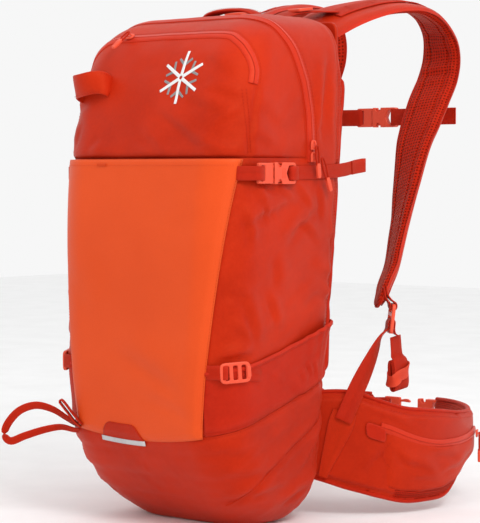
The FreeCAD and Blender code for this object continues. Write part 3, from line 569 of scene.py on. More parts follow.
def relief(points, normals):
    """How far each point of the bag stands proud of its plain section, in millimetres."""
    x, y, z = points.T
    side = np.clip((np.abs(normals[:, 0]) - 0.35) / 0.35, 0, 1)
    front = np.clip((-normals[:, 1] - 0.35) / 0.35, 0, 1)
    back = np.clip((normals[:, 1] - 0.5) / 0.3, 0, 1)
    yz, xz = points[:, 1:], points[:, ::2]
    left = np.where(x < 0, 1, 0)[:, None]
    shifted = yz + left * np.array([7.0, 15.0])
    base = z < base_seam_z(y)
    lid = z > LID_Z
    up = folds(shifted, SIDE_FOLDS, 1.7 * side * ~base) + folds(xz, FRONT_FOLDS, 1.2 * front * lid)
    up += folds(shifted - left * np.array([0.0, 12.0]), BASE_FOLDS, base * 1.2)
    up += crumple(points, 3.1) * np.where(base, 1.5, 1.0) * (0.35 + 0.65 * side + 0.3 * lid)
    up += np.where(base, 1.2, 0.0) * crumple(points, 9.7, 14.0) * 0.6
    # panels puff out between their seams
    up += side * ~base * 2.2 * np.exp(-((y + 10) / 50) ** 2) * np.exp(-((z - 290) / 90) ** 2)
    up += front * lid * 3.0 * np.exp(-(x / 80) ** 2) * np.exp(-((z - 450) / 40) ** 2)
    # seams
    up += groove(np.abs(z - base_seam_z(y)) * 0.96, 2.2, 2.6)
    up += side * groove(line_distance(yz, FRONT_SEAM), 1.5, 2.2) * np.where((z < 476) & (z > LID_Z), 1, 0)
    up += side * groove(line_distance(yz, BACK_SEAM), 1.4, 2.4)
    up += side * groove(line_distance(yz, LOW_SEAM), 2.0, 2.4)
    # fold line of the lid and the pull of the upper strap under it
    strap = np.exp(-((z - 384) / 9) ** 2) * np.clip((y + 84) / 10, 0, 1)
    up -= side * strap * 1.6
    up += side * 2.2 * np.exp(-((z - 412) / 11) ** 2) * np.exp(-((y + 8) / 45) ** 2)
    up -= np.exp(-((z - LID_Z) / 2.6) ** 2) * 1.4 * (y < 44)
    up += front * lid * 2.6 * np.exp(-((z - 409) / 7) ** 2) * (0.7 + 0.3 * np.sin(x / 13.0))
    # flat where other pieces lie on the bag
    panel_half = np.interp(z, PANEL_Z, PANEL_HALF)
    under_panel = front * (np.abs(x) < panel_half + 1) * (z > PANEL_Z[0] - 2) * (z < PANEL_Z[1])
    up = np.where(under_panel > 0, np.minimum(up, 0) * 0.3 - 0.5, up)
    zip_gap = line_distance(yz, ZIP)
    calm = np.clip((zip_gap - 6) / 10, 0, 1)
    up = up * np.where(z > 392, calm, 1) * (1 - 0.85 * back)
    up *= np.clip(z / 14, 0, 1)
    return np.clip(up, -4.5, 4.5)


# ---- Bag shells ----

def section_columns(flat=56, corner=24, side=36, rear=30):
    """(share of half width, share of half depth, direction of the normal) round the section."""
    legs = ((-1, -1, 1, -1, -90, flat), (1, -1, 1, 1, 0, side), (1, 1, -1, 1, 90, rear),
            (-1, 1, -1, -1, 180, side))
    out = []
    for a0, b0, a1, b1, normal, count in legs:
        for i in range(count):
            f = i / count
            out.append((a0 + (a1 - a0) * f, b0 + (b1 - b0) * f, normal))
        for i in range(corner):
            out.append((a1, b1, normal + 90 * i / corner))
    return np.array(out, float)


def bag_grid(rows=190):
    """Grid of points over the whole bag, from the middle of its base to the middle of its top."""
    fine = smooth(BAG, np.linspace(0, len(BAG) - 1, 1200))
    step = np.hypot(np.diff(fine[:, 0]), np.diff(fine[:, 1]) * 0.7)
    run = np.concatenate([[0], np.cumsum(step)])
    at = np.linspace(0, run[-1], rows)
    z, half, front, back, r = [np.interp(at, run, fine[:, k])[:, None] for k in range(5)]
    a, b, turn = section_columns().T
    turn = np.radians(turn)
    x = a * (half - r) + np.cos(turn) * r
    y = (front + back) / 2 + b * ((back - front) / 2 - r) + np.sin(turn) * r
    return np.stack([x, y, z + 0 * x], axis=-1)


def near_faces(bm, test):
    """Faces that pass a test on their middle, with their edges and points."""
    chosen = [f for f in bm.faces if test(f.calc_center_median())]
    edges = {e for f in chosen for e in f.edges}
    verts = {v for f in chosen for v in f.verts}
    return [*verts, *edges, *chosen]


def cut(bm, point, along, test):
    """Cuts the faces near a line of the YZ plane, so that panels end exactly on it."""
    normal = Vector((0, -along[1], along[0]))
    geom = near_faces(bm, test)
    bmesh.ops.bisect_plane(bm, geom=geom, dist=1e-4, plane_co=(0, point[0], point[1]), plane_no=normal)


def inside_lid(y, z):
    """True in front of the main zip and above the lid's fold line."""
    edge = np.interp(z, [p[1] for p in ZIP], [p[0] for p in ZIP])
    return z > LID_Z and y < edge


def make_bag_mesh():
    """Whole bag in millimetres, cut along the panels' edges and given its relief."""
    points = bag_grid()
    rows, cols = points.shape[:2]
    mesh = bpy.data.meshes.new("bag")
    faces = grid_faces(rows, cols, close_cols=True)
    faces += [tuple(range(cols))[::-1], tuple(range((rows - 1) * cols, rows * cols))]
    mesh.from_pydata([tuple(p) for p in points.reshape(-1, 3)], [], faces)
    bm = bmesh.new()
    bm.from_mesh(mesh)
    cloth = bm.loops.layers.uv.new("cloth")
    z, slope, y0 = BASE_SEAM
    cut(bm, (y0, z), (1, slope), lambda c: abs(c.z - base_seam_z(c.y)) < 12)
    cut(bm, (0, LID_Z), (1, 0), lambda c: abs(c.z - LID_Z) < 8 and c.y < 50)
    for a, b in zip(ZIP, ZIP[1:]):
        low, high = a[1] - 5, b[1] + 5
        cut(bm, a, (b[0] - a[0], b[1] - a[1]),
            lambda c: low < c.z < high and abs(c.y - (a[0] + b[0]) / 2) < 24)
    bm.normal_update()
    place = np.array([v.co for v in bm.verts])
    facing = np.array([v.normal for v in bm.verts])
    moved = place + facing * relief(place, facing)[:, None]
    for v, new in zip(bm.verts, moved):
        v.co = new
    bm.normal_update()
    for face in bm.faces:
        n = face.normal
        for loop in face.loops:
            c = loop.vert.co
            across = c.x if abs(n.y) > abs(n.x) else c.y
            height = c.z if abs(n.z) < 0.8 else (c.y if abs(n.y) > abs(n.x) else c.x)
            loop[cloth].uv = (across * MM, height * MM)
    return bm


FABRIC = 1.8            # thickness of the bag's fabric with its lining


def shell(name, bag, keep, body, materials, nodes):
    """One panel group of the bag: the faces that pass the test, with a lining inside."""
    part = bag.copy()
    drop = [f for f in part.faces if not keep(f.calc_center_median())]
    bmesh.ops.delete(part, geom=drop, context="FACES")
    bmesh.ops.scale(part, vec=(MM, MM, MM), verts=part.verts)
    mesh = bpy.data.meshes.new(name)
    part.to_mesh(mesh)
    part.free()
    mesh.shade_smooth()
    obj = bpy.data.objects.new(name, mesh)
    bpy.context.scene.collection.objects.link(obj)
    for item in materials:
        mesh.materials.append(item)
    solid = obj.modifiers.new("lining", "SOLIDIFY")
    solid.thickness = FABRIC * MM
    solid.offset = -1
    solid.material_offset = 1
    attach(obj, body)
    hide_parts(*nodes)
    return obj


def make_shells(mats):
    """Base, walls and lid, and a search tree of their outer surface."""
    bag = make_bag_mesh()
    tree = BVHTree.FromBMesh(bag)

    def is_base(c):
        return c.z < base_seam_z(c.y)

    def is_lid(c):
        return inside_lid(c.y, c.z)

    cloth = [mats["nylon"], mats["lining"]]
    shell("base_shell", bag, is_base, "pack", [mats["base"], mats["lining"]], ["base_panel"])
    shell("wall_shell", bag, lambda c: not is_base(c) and not is_lid(c), "pack", cloth,
          ["side_wall_right", "side_wall_left", "front_wall", "back_wall", "hood_top"])
    shell("lid_shell", bag, is_lid, "lid", cloth, ["lid_front", "lid_top", "lid_side_right",
                                                   "lid_side_left"])
    bag.free()
    return tree


# ---- Things that lie on the bag's skin ----

def settle(skin, points, lift=0.0, rounds=3):
    """Points moved onto the skin and lifted off it, with its normals smoothed along the line."""
    hits = [skin.find_nearest(Vector(p)) for p in np.asarray(points, float)]
    at = np.array([h[0] for h in hits])
    normals = np.array([h[1] for h in hits])
    for _ in range(rounds):
        wide = normals.copy()
        wide[1:-1] += normals[:-2] + normals[2:]
        normals = unit(wide)
    return at + normals * lift, normals


def side_line(skin, table, lift=0.0, side=1, step=3.0):
    """Line on the bag's side from (y, z) points."""
    yz = evenly(table, step)
    points = around(run_at_y(yz[:, 0], yz[:, 1]), yz[:, 1]) * np.array([side, 1, 1])
    return settle(skin, points, lift)


def front_line(skin, table, lift=0.0, step=3.0):
    """Line on the bag's front from (x, z) points."""
    xz = evenly(table, step)
    run = np.sign(xz[:, 0]) * run_at_x(np.abs(xz[:, 0]), xz[:, 1])
    return settle(skin, around(run, xz[:, 1]), lift)


STITCHES = {}
SEAM_STITCH = (3.4, 2.3, 0.28)       # pitch, length and radius: on the base seams and the wings
EDGE_STITCH = (3.4, 2.3, 0.26)       # on the side seams, the lid's zip, the shoulder straps and the yoke
HEM_STITCH = (3.2, 2.2, 0.26)        # on the pole loop, the handle and the belt pockets
PANEL_STITCH = (3.2, 2.2, 0.22)      # on the front panel


def stitch(body, line, normals, pitch=3.4, length=2.3, radius=0.32, colour="thread"):
    """Row of short raised stitches along a line, kept until the body's stitches are made."""
    run = distances(line)
    verts, faces = STITCHES.setdefault((body, colour), ([], []))
    for s in np.arange(0.5 * pitch, run[-1] - length, pitch):
        a = np.array([np.interp(s, run, line[:, k]) for k in range(3)])
        b = np.array([np.interp(s + length, run, line[:, k]) for k in range(3)])
        up = np.array([np.interp(s, run, normals[:, k]) for k in range(3)])
        side = np.cross(b - a, up)
        side = side / max(np.linalg.norm(side), 1e-9) * radius
        up = up / np.linalg.norm(up) * radius
        first = len(verts)
        verts.append(a)
        for share in (0.25, 0.75):
            middle = a + (b - a) * share + up * 0.5
            verts.extend([middle + side, middle + up, middle - side, middle - up])
        verts.append(b)
        for k in range(4):
            p, q = first + 1 + k, first + 1 + (k + 1) % 4
            faces.append((first, q, p))
            faces.append((p, q, q + 4, p + 4))
            faces.append((p + 4, q + 4, first + 9))


def make_stitches(mats):
    """One piece for each body and thread colour."""
    for (body, colour), (verts, faces) in STITCHES.items():
        new_object("stitching_%s_%s" % (body, colour), verts, faces, body, mats[colour], sharp=80)


def zip_arch(step=3.0):
    """Centre line of the main zip over the bag, from the wearer's right end to the left end."""
    ys, zs = [p[0] for p in ZIP], [p[1] for p in ZIP]
    leg = np.arange(ZIP[0][1] + 2, 440, step)
    right = around(run_at_y(np.interp(leg, zs, ys), leg), leg)
    turn = np.linspace(0, math.pi, 150)
    low, high = np.zeros(150), np.full(150, 260.0)
    for _ in range(30):
        middle = (low + high) / 2
        x, z = middle * np.cos(turn), 440 + middle * np.sin(turn)
        half, front, back, r = section(z)
        y = np.interp(z, zs, ys)
        qx = np.abs(x) - (half - r)
        qy = np.abs(y - (front + back) / 2) - ((back - front) / 2 - r)
        gap = np.hypot(np.maximum(qx, 0), np.maximum(qy, 0)) + np.minimum(np.maximum(qx, qy), 0) - r
        inside = (gap < 0) & (z < 559)
        low, high = np.where(inside, middle, low), np.where(inside, high, middle)
    arch = np.stack([low * np.cos(turn), np.interp(440 + low * np.sin(turn), zs, ys),
                     440 + low * np.sin(turn)], 1)
    left = right[::-1] * np.array([-1, 1, 1])
    line = np.concatenate([right, arch, left])
    for _ in range(6):
        line[1:-1] = (line[:-2] + 2 * line[1:-1] + line[2:]) / 4
    return line


def mirrored(half):
    """Whole outline from its right half."""
    return [(-x, y) for x, y in reversed(half)] + half


def half_tape(inner, outer, crown):
    """Section of one half of a covered zip: a smooth tape that swells over the coil."""
    side = 1 if outer > inner else -1
    return [(inner, -0.4), (inner, crown), (inner + side * 0.5, crown + 0.25),
            (inner + side * 2.2, crown * 0.9), (outer - side * 1.6, 0.75), (outer - side * 0.2, 0.65),
            (outer, 0.3), (outer, -0.4)]


def make_main_zip(skin, mats):
    """Two halves of the main zip, with a dark coil in the slit and stitching beside it."""
    line, normals = settle(skin, zip_arch(), 0.35, 6)
    across = unit(np.cross(unit(np.gradient(line, axis=0)), normals))
    for name, inner, outer, body, node in (
        ("zip_tape_rear", -0.35, -6.8, "pack", "main_zip_rear_tape"),
        ("zip_tape_front", 0.35, 6.8, "lid", "main_zip_front_tape"),
    ):
        outline = half_tape(inner, outer, 1.7)
        obj = sweep(name, line, normals, outline, body, mats["zip"])
        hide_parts(node)
        sign = 1 if outer > 0 else -1
        for offset in (5.6, 9.4):
            row, up = settle(skin, line + across * sign * offset, 1.05 if offset < 6 else 0.25)
            stitch(body, row, up, 3.6, 2.4, 0.28)
    coil = sweep("zip_coil", line, normals, round_outline(0.75, 6), "pack", mats["coil"])


def make_lid_zip(skin, mats):
    """Covered zip of the lid pocket, arched over the lid."""
    line, normals = front_line(skin, [(-x, z) for x, z in reversed(LID_ZIP[1:])] + LID_ZIP, 0.2)
    outline = mirrored([(0.3, 1.1), (0.5, 1.75), (2.2, 1.5), (5.2, 0.7), (5.6, 0.3), (5.6, -0.5)])
    obj = sweep("lid_zip_tape", line, normals, outline, "lid", mats["zip"])
    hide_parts("lid_pocket_zip")
    coil = sweep("lid_zip_coil", line + normals * 0.75, normals, round_outline(0.5, 6), "lid", mats["coil"])
    across = unit(np.cross(unit(np.gradient(line, axis=0)), normals))
    for offset in (-4.6, 4.6, -8.4):
        row, up = settle(skin, line + across * offset, 1.0 if abs(offset) < 5 else 0.25)
        stitch("lid", row, up, *EDGE_STITCH)


# ---- Front pocket ----

PANEL_EDGE = 1.3        # how far the front panel stands off the bag at its sewn edges
PANEL_LIFT = 4.6        # and away from them
PANEL_SAG = 8.0         # how far the middle of the front panel's lower edge hangs below its corners
PANEL_FOLDS = [
    ((-30, 200), (84, 150), 16, 1.8), ((10, 150), (90, 128), 12, 1.2),
    ((-96, 300), (-60, 230), 20, 0.9), ((30, 330), (112, 350), 22, 0.7),
]
TAB_X = -20.0
TAB_LOW, TAB_HIGH = 31.0, 21.0      # half widths of the tab at its foot and at its top


def panel_low(x):
    """Height of the front panel's lower edge."""
    return PANEL_Z[0] - PANEL_SAG * (1 - np.clip(x / PANEL_HALF[0], -1, 1) ** 2)


def panel_lift(run, edge, above):
    """How far the front panel stands off the bag, down to its sewn edges."""
    side = np.clip((edge - np.abs(run)) / 9.0, 0, 1)
    foot = np.clip((above + 1) / 9.0, 0, 1)
    soft = (side * side * (3 - 2 * side)) * (0.25 + 0.75 * foot * foot * (3 - 2 * foot))
    return PANEL_EDGE + (PANEL_LIFT - PANEL_EDGE) * soft


def panel_points(x, z, extra=0.0):
    """Points on the front panel's outer face."""
    half = np.interp(z, PANEL_Z, PANEL_HALF)
    run = np.sign(x) * run_at_x(np.minimum(np.abs(x), half), z)
    lift = panel_lift(run, run_at_x(half, z), z - panel_low(x))
    flat = np.stack([x + 0 * z, z + 0 * x], axis=-1).reshape(-1, 2)
    soft = folds(flat, PANEL_FOLDS, 1.0).reshape(np.shape(lift)) * np.clip((lift - PANEL_EDGE) / 2, 0, 1)
    hem = 0.5 * np.exp(-((z - PANEL_Z[1] + 5) / 5) ** 2)
    return around(run, z, lift + soft + hem + extra)


def make_front_panel(mats):
    """Smooth front panel with its stitched hem and bartack."""
    z = np.linspace(PANEL_Z[0] - 0.5, PANEL_Z[1], 96)[:, None]
    half = np.interp(z, PANEL_Z, PANEL_HALF)
    share = np.linspace(-1, 1, 84)[None, :]
    low = panel_low(share * PANEL_HALF[0])
    hung = low + (z - PANEL_Z[0]) * (PANEL_Z[1] - low) / (PANEL_Z[1] - PANEL_Z[0])
    obj = sheet_grid("front_pocket_panel", panel_points(share * half, hung), "pack", mats["laminate"], 1.3)
    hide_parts("front_panel")
    for side in (-1, 1):
        edge = panel_points(side * (half[:, 0] - 1.0), z[:, 0], 0.5)
        normals = unit(edge * np.array([1, 1, 0]))
        stitch("pack", edge[3:], normals[3:], *PANEL_STITCH, "orange_thread")
    x = np.linspace(-118, 118, 90)
    top = panel_points(x, np.full(90, PANEL_Z[1] - 6.5), 0.25)
    stitch("pack", top, np.tile([0, -1.0, 0], (90, 1)), *PANEL_STITCH, "orange_thread")
    bar = panel_points(np.linspace(-60, -47, 6), np.full(6, PANEL_Z[1] - 6.0), 0.5)
    sweep("front_bartack", bar, np.tile([0, -1.0, 0], (6, 1)), tape_outline(2.6, 0.8, 0.35), "pack",
          mats["orange_thread"])


def make_front_tab(mats):
    """Pull tab on the front panel's lower edge, with the reflective strip under it."""
    rows = np.linspace(0, 1, 12)[:, None]
    across = np.linspace(0, 1, 20)[None, :]
    round_off = 5.0 * (1 - np.sqrt(np.clip(1 - np.clip((rows - 0.6) / 0.4, 0, 1) ** 2, 0, 1)))
    reach = TAB_LOW + (TAB_HIGH - TAB_LOW) * rows - round_off
    x = TAB_X + (2 * across - 1) * reach
    tab = panel_points(x, panel_low(x) - 3.0 + 19.5 * rows, 1.0)
    obj = sheet_grid("front_tab", tab, "pack", mats["base"], 0.9)
    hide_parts("front_panel_tab")
    outline = np.concatenate([tab[:, 0], tab[-1, 1:-1], tab[::-1, -1]]) + np.array([0, -0.3, 0])
    inward = unit(tab.reshape(-1, 3).mean(axis=0) - outline)
    stitch("pack", outline + inward * 1.3, np.tile([0, -1.0, 0], (len(outline), 1)), 2.8, 1.9, 0.22)
    x = TAB_X + (2 * across - 1) * (TAB_LOW + 0.5)
    strip = panel_points(x, panel_low(x) - 6.2 + 5.2 * np.linspace(0, 1, 5)[:, None], 1.6)
    obj = sheet_grid("silver_strip", strip, "pack", mats["silver"], 0.7)
    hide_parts("reflective_strip")


# ---- Side pockets ----

def make_side_pocket(skin, mats, side, name):
    """Stretch pocket with an elastic top edge that stands off the bag towards the back."""
    rows, cols = 34, 84
    start = float(run_at_x(95.0, 150.0)) - 3
    end = float(run_at_y(74.0, 190.0))
    runs = np.linspace(start, end, cols)
    y = around(runs, 170.0)[:, 1]
    low = base_seam_z(y) + 0.8
    high = np.interp(y, [p[0] for p in POCKET_TOP], [p[1] for p in POCKET_TOP])
    rise = np.linspace(0, 1, rows)[:, None]
    z = low + (high - low) * rise
    laid = around(runs[None, :] + 0 * rise, z) * np.array([side, 1, 1])
    flat, up = settle(skin, laid.reshape(-1, 3), 0, 0)
    yz = flat[:, 1:]
    gap = 1.0 + 1.1 * rise + 6.5 * rise**2 * np.clip((y - 5) / 50, 0, 1) * np.clip((80 - y) / 10, 0, 1)
    gather = np.sin(y / 1.9 + 2.5 * np.sin(y / 11)) * 0.8 * rise**2 * np.clip((y - 12) / 26, 0.12, 1)
    lift = (gap + gather).reshape(-1) + np.maximum(folds(yz, POCKET_GATHERS, 1.0), -0.6)
    lift *= np.clip((runs - start) / 12, 0.25, 1)[None, :].repeat(rows, 0).reshape(-1)
    points = (flat + up * lift[:, None]).reshape(rows, cols, 3)
    obj = sheet_grid("side_pocket_%s_fabric" % name, points, "pack", mats["stretch"], 0.9, flip=side < 0)
    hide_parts("side_pocket_" + name)
    normals = up.reshape(rows, cols, 3)
    outline = [(-2.6, -0.8), (-2.6, 0.6), (-1.6, 1.3), (0, 1.5), (1.6, 1.2), (2.4, 0.4), (2.4, -0.6),
               (1.2, -1.3), (-1.2, -1.3)]
    band = sweep("pocket_edge_" + name, points[-1] + normals[-1] * 0.1, normals[-1], outline, "pack",
                 mats["binding"])
    stitch("pack", points[-1] + normals[-1] * 1.5 + np.array([0, 0, -1.2]), normals[-1], 3.0, 2.0, 0.24)
    seam = points[:, -10]
    stitch("pack", seam + normals[:, -10] * 0.3, normals[:, -10], 3.0, 2.0, 0.24)
    back = sweep("pocket_hem_" + name, points[:, -1], normals[:, -1], tape_outline(5, 1.4), "pack",
                 mats["binding"])


# ---- Seams of the bag ----

def make_seams(skin, mats):
    """Topstitching beside the bag's seams, with piping on the two base seams."""
    half_run = float(run_at_y(98.0, 150.0)) + 40
    runs = np.linspace(-1, 1, 330) * half_run
    y = around(runs, 130.0)[:, 1]
    for offset in (-2.8, 3.0):
        line, up = settle(skin, around(runs, base_seam_z(y) + offset), 0.2)
        stitch("pack", line, up, *SEAM_STITCH)
    for side in (-1, 1):
        for shift in (-1.9, 1.9):
            for body, seam in (("lid", LID_SIDE_SEAM), ("pack", REAR_SEAM)):
                line, up = side_line(skin, [(a + shift, b) for a, b in seam], 0.2, side)
                stitch(body, line, up, *EDGE_STITCH)
        line, up = side_line(skin, LOW_SEAM, -0.3, side)
        piping = sweep("base_piping_%s" % ("right" if side > 0 else "left"), line, up,
                       round_outline(1.1, 8), "pack", mats["base"])
        line, up = side_line(skin, [(a - 2.4, b + 2.4) for a, b in LOW_SEAM], 0.2, side)
        stitch("pack", line, up, *SEAM_STITCH)


# ---- Moulded hardware ----

def rounded(points, radius, count=4):
    """Outline with its corners rounded."""
    p = np.asarray(points, float)
    result = []
    for before, corner, after in zip(np.roll(p, 1, 0), p, np.roll(p, -1, 0)):
        a = corner + (before - corner) * min(0.5, radius / np.linalg.norm(before - corner))
        b = corner + (after - corner) * min(0.5, radius / np.linalg.norm(after - corner))
        for t in np.linspace(0, 1, count + 1):
            result.append(tuple((1 - t) ** 2 * a + 2 * t * (1 - t) * corner + t * t * b))
    return result


def box_outline(x0, x1, y0, y1, radius):
    """Rectangle with rounded corners."""
    return rounded([(x0, y0), (x1, y0), (x1, y1), (x0, y1)], radius)


def placing(origin, along, out):
    """Matrix whose X runs along and Z points out, from an origin in millimetres."""
    u = Vector(along).normalized()
    n = Vector(out)
    n = (n - u * n.dot(u)).normalized()
    v = n.cross(u)
    rows = [(u[k], v[k], n[k], origin[k] * MM) for k in range(3)]
    return Matrix(rows + [(0, 0, 0, 1)])


def plate(name, outlines, low, high, bevel, place, body, material):
    """Flat moulded part: an outline with holes, between two heights, with rounded edges."""
    curve = bpy.data.curves.new(name, "CURVE")
    curve.dimensions = "2D"
    curve.fill_mode = "BOTH"
    curve.extrude = ((high - low) / 2 - bevel) * MM
    curve.bevel_depth = bevel * MM
    curve.offset = -bevel * MM
    curve.bevel_resolution = 2
    for outline in outlines:
        spline = curve.splines.new("POLY")
        spline.points.add(len(outline) - 1)
        for point, (x, y) in zip(spline.points, outline):
            point.co = (x * MM, y * MM, 0, 1)
        spline.use_cyclic_u = True
    holder = bpy.data.objects.new(name, curve)
    bpy.context.scene.collection.objects.link(holder)
    bpy.context.view_layer.update()
    flat = bpy.data.meshes.new_from_object(holder.evaluated_get(bpy.context.evaluated_depsgraph_get()))
    bpy.data.objects.remove(holder)
    flat.transform(place @ Matrix.Translation((0, 0, (low + high) / 2 * MM)))
    verts = [v.co / MM for v in flat.vertices]
    faces = [tuple(p.vertices) for p in flat.polygons]
    bpy.data.meshes.remove(flat)
    return new_object(name, verts, faces, body, material, sharp=32)


def twin(obj, name, body):
    """Mirror image of a piece, on the wearer's left."""
    other = obj.copy()
    other.data = obj.data.copy()
    other.name = name
    other.data.transform(Matrix.Scale(-1, 4, (1, 0, 0)))
    other.data.flip_normals()
    bpy.context.scene.collection.objects.link(other)
    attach(other, body)
    return other


def pair(obj, body, other_body=None, nodes=(), other_nodes=()):
    """Names a piece for both sides, with its mirror image and the nodes each replaces."""
    stem = obj.name
    other = twin(obj, stem + "_left", other_body or body)
    obj.name = stem + "_right"
    if nodes:
        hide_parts(*nodes)
    if other_nodes:
        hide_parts(*other_nodes)
    return obj, other


def ladder_lock(name, place, body, mats, width=28.0):
    """Slotted strap adjuster with a raised lip."""
    half = width / 2
    slots = [box_outline(x, x + 5.0, 3.5 - half, half - 3.5, 1.6) for x in (-12.0, -2.5, 7.0)]
    frame = plate(name, [box_outline(-17, 17, -half, half, 6.5)] + slots, -2.0, 2.0, 1.1, place, body,
                  mats["plastic"])
    lip = plate(name + "_lip", [box_outline(12.6, 17, 5 - half, half - 5, 1.6)], 1.2, 3.0, 0.8, place, body,
                mats["plastic"])
    return join(name, [frame, lip])


def buckle_male(name, width, place, body, mats):
    """Half with prongs, its shoulder at X = 0."""
    half = width / 2
    parts = []

    def mould(suffix, outlines, low, high, bevel):
        """One moulded part of the half."""
        parts.append(plate(name + suffix, outlines, low, high, bevel, place, body, mats["plastic"]))

    shape = [(-24, 0.5 - half), (-1, 0.5 - half), (0, 1.5 - half), (0, half - 1.5), (-1, half - 0.5),
             (-24, half - 0.5)]
    mould("", [rounded(shape, 2.2), box_outline(-20, -14, 3.5 - half, half - 3.5, 1.4)], -2.2, 2.2, 1.0)
    mould("_tongue", [box_outline(-2, 14, -2.5, 2.5, 1.6)], -1.3, 1.3, 0.6)
    for side in (-1, 1):
        arm = [(-2, half - 6.6), (-2, half - 3.6), (4.6, half - 2.8), (6.2, half - 2.2), (11.4, half - 2.2),
               (15, half - 4.2), (15, half - 6.4), (5, half - 5.9)]
        mould("_arm", [rounded([(x, side * y) for x, y in arm], 1.0)], -1.7, 1.7, 0.6)
    return join(name, parts)


def female_outline(half):
    """Socket half, with a bay on each side where the prongs show."""
    turn = np.linspace(0, math.pi, 13)
    bay = [(8.9 - 3.9 * math.cos(t), half - 5.0 * math.sin(t) ** 0.8) for t in turn]
    upper = [(0.5, half - 1.2), (1.5, half)] + bay + [(32.5, half), (34.6, half - 0.7), (36, half - 3)]
    return upper + [(x, -y) for x, y in reversed(upper)]


def buckle_female(name, width, place, body, mats):
    """Half with the socket: two faces, with side walls and the webbing bar between them."""
    half = width / 2
    parts = []

    def mould(suffix, outlines, low, high, bevel):
        """One moulded part of the half."""
        parts.append(plate(name + suffix, outlines, low, high, bevel, place, body, mats["plastic"]))

    notch = rounded([(20, 0), (24, 3.5 - half), (32, 3.5 - half), (32, half - 3.5), (24, half - 3.5)], 1.6)
    mould("", [female_outline(half), notch], 1.9, 4.0, 0.9)
    mould("_under", [female_outline(half), notch], -4.0, -1.9, 0.9)
    back = [(17, -half), (33, -half), (36, 3 - half), (36, half - 3), (33, half), (17, half)]
    mould("_core", [rounded(back, 0.8), notch], -2.2, 2.2, 0.2)
    for side in (-1, 1):
        wall = sorted((side * half, side * (half - 1.6)))
        for near, far in ((0.8, 4.4), (13.2, 17.6)):
            mould("_wall", [box_outline(near, far, *wall, 0.4)], -2.2, 2.2, 0.2)
    for x in (12.6, 14.8, 17.0):
        mould("_ridge", [box_outline(x, x + 1.1, -half * 0.42, half * 0.42, 0.4)], 3.7, 4.4, 0.3)
    return join(name, parts)


# ---- Webbing ----

def strap_line(stations, step=2.5):
    """Centre line, upward normals and width of a strap from rows of (x, y, z, across x, y, z, width)."""
    rows = evenly(stations, step)
    line, across = rows[:, :3], unit(rows[:, 3:6])
    along = unit(np.gradient(line, axis=0))
    across = unit(across - along * np.sum(across * along, axis=1, keepdims=True))
    return line, np.cross(along, across), rows[:, 6]


def web(name, points, across, width, body, material, thick=1.6, step=2.0):
    """Flat webbing along 3-D points, its width always along one direction."""
    line, up, _ = strap_line([(*p, *across, width) for p in points], step)
    outline = [(a, b - thick / 2) for a, b in tape_outline(width, thick, 0.6)]
    return sweep(name, line, up, outline, body, material, sharp=50)


def box_stitch(body, centre, along, across, up, length, width, colour="thread"):
    """Stitched box with a cross in it."""
    c, u, v = np.array(centre, float), unit(np.array(along, float)), unit(np.array(across, float))
    corners = [c + u * a * length / 2 + v * b * width / 2 for a, b in ((-1, -1), (1, -1), (1, 1), (-1, 1))]
    for a, b in ((0, 1), (1, 2), (2, 3), (3, 0), (0, 2), (1, 3)):
        line = np.linspace(corners[a], corners[b], 8)
        stitch(body, line, np.tile(np.array(up, float), (8, 1)), 2.6, 1.9, 0.24, colour)


COMPRESSION_WEB = 15.0
COMPRESSION_BUCKLE = 23.0
UPPER_STRAP_Z = 384
LOWER_STRAP_Z = 176


def make_upper_straps(mats):
    """Upper compression straps, each through its side-release buckle."""
    up, wide = (0, 0, 1), COMPRESSION_WEB
    rear = [(118, 133, 391.5), (123.4, 119, 390), (126.8, 102, 388), (128.8, 76, 386), (129.0, 40, 385),
            (129.0, 10, 384.2), (129.0, -4, 384)]
    obj = web("upper_strap", rear, up, wide, "pack", mats["webbing"], 1.3)
    pair(obj, "pack", nodes=("compression_straps",))
    end = [(124.4, 119, 390), (121.5, 130, 391), (120.2, 142, 392.2), (119.6, 150, 393), (118.0, 151.6, 393),
           (117.4, 148, 392.8), (118.2, 138, 391.8), (119.6, 128, 390.6)]
    pair(web("upper_strap_end", end, up, wide + 0.5, "pack", mats["webbing"], 1.8), "pack")
    loop = level(UPPER_STRAP_Z, [(130.6, 12), (130.4, 4), (130.6, -1), (132.4, -5.2), (136, -6.4),
                                 (139.4, -4.4), (140.1, 0), (139, 4.2), (136, 7.6), (133, 10.6),
                                 (131.9, 13.4)])
    obj = web("buckle_loop", loop, up, wide, "buckle_right", mats["webbing"], 1.3)
    pair(obj, "buckle_right", "buckle_left")
    front = level(UPPER_STRAP_Z, [(117.5, -72.4), (122.4, -71.6), (127.2, -67.2), (131, -61), (131.6, -55),
                                  (133.6, -50.8), (137.2, -50.6), (138.5, -54), (138, -59), (134.0, -65),
                                  (128.6, -70.4), (123.2, -74), (117.8, -75.2)])
    pair(web("upper_strap_front", front, up, wide, "pack", mats["webbing"]), "pack")
    place = placing((134.8, -34.0, UPPER_STRAP_Z), (0, 1, 0), (1, 0, 0))
    pair(buckle_male("upper_buckle_male", COMPRESSION_BUCKLE, place, "pack", mats), "pack",
         nodes=("compression_buckle_males",))
    pair(buckle_female("upper_buckle_female", COMPRESSION_BUCKLE, place, "buckle_right", mats),
         "buckle_right", "buckle_left", ("compression_buckle_right",),
         ("compression_buckle_left",))


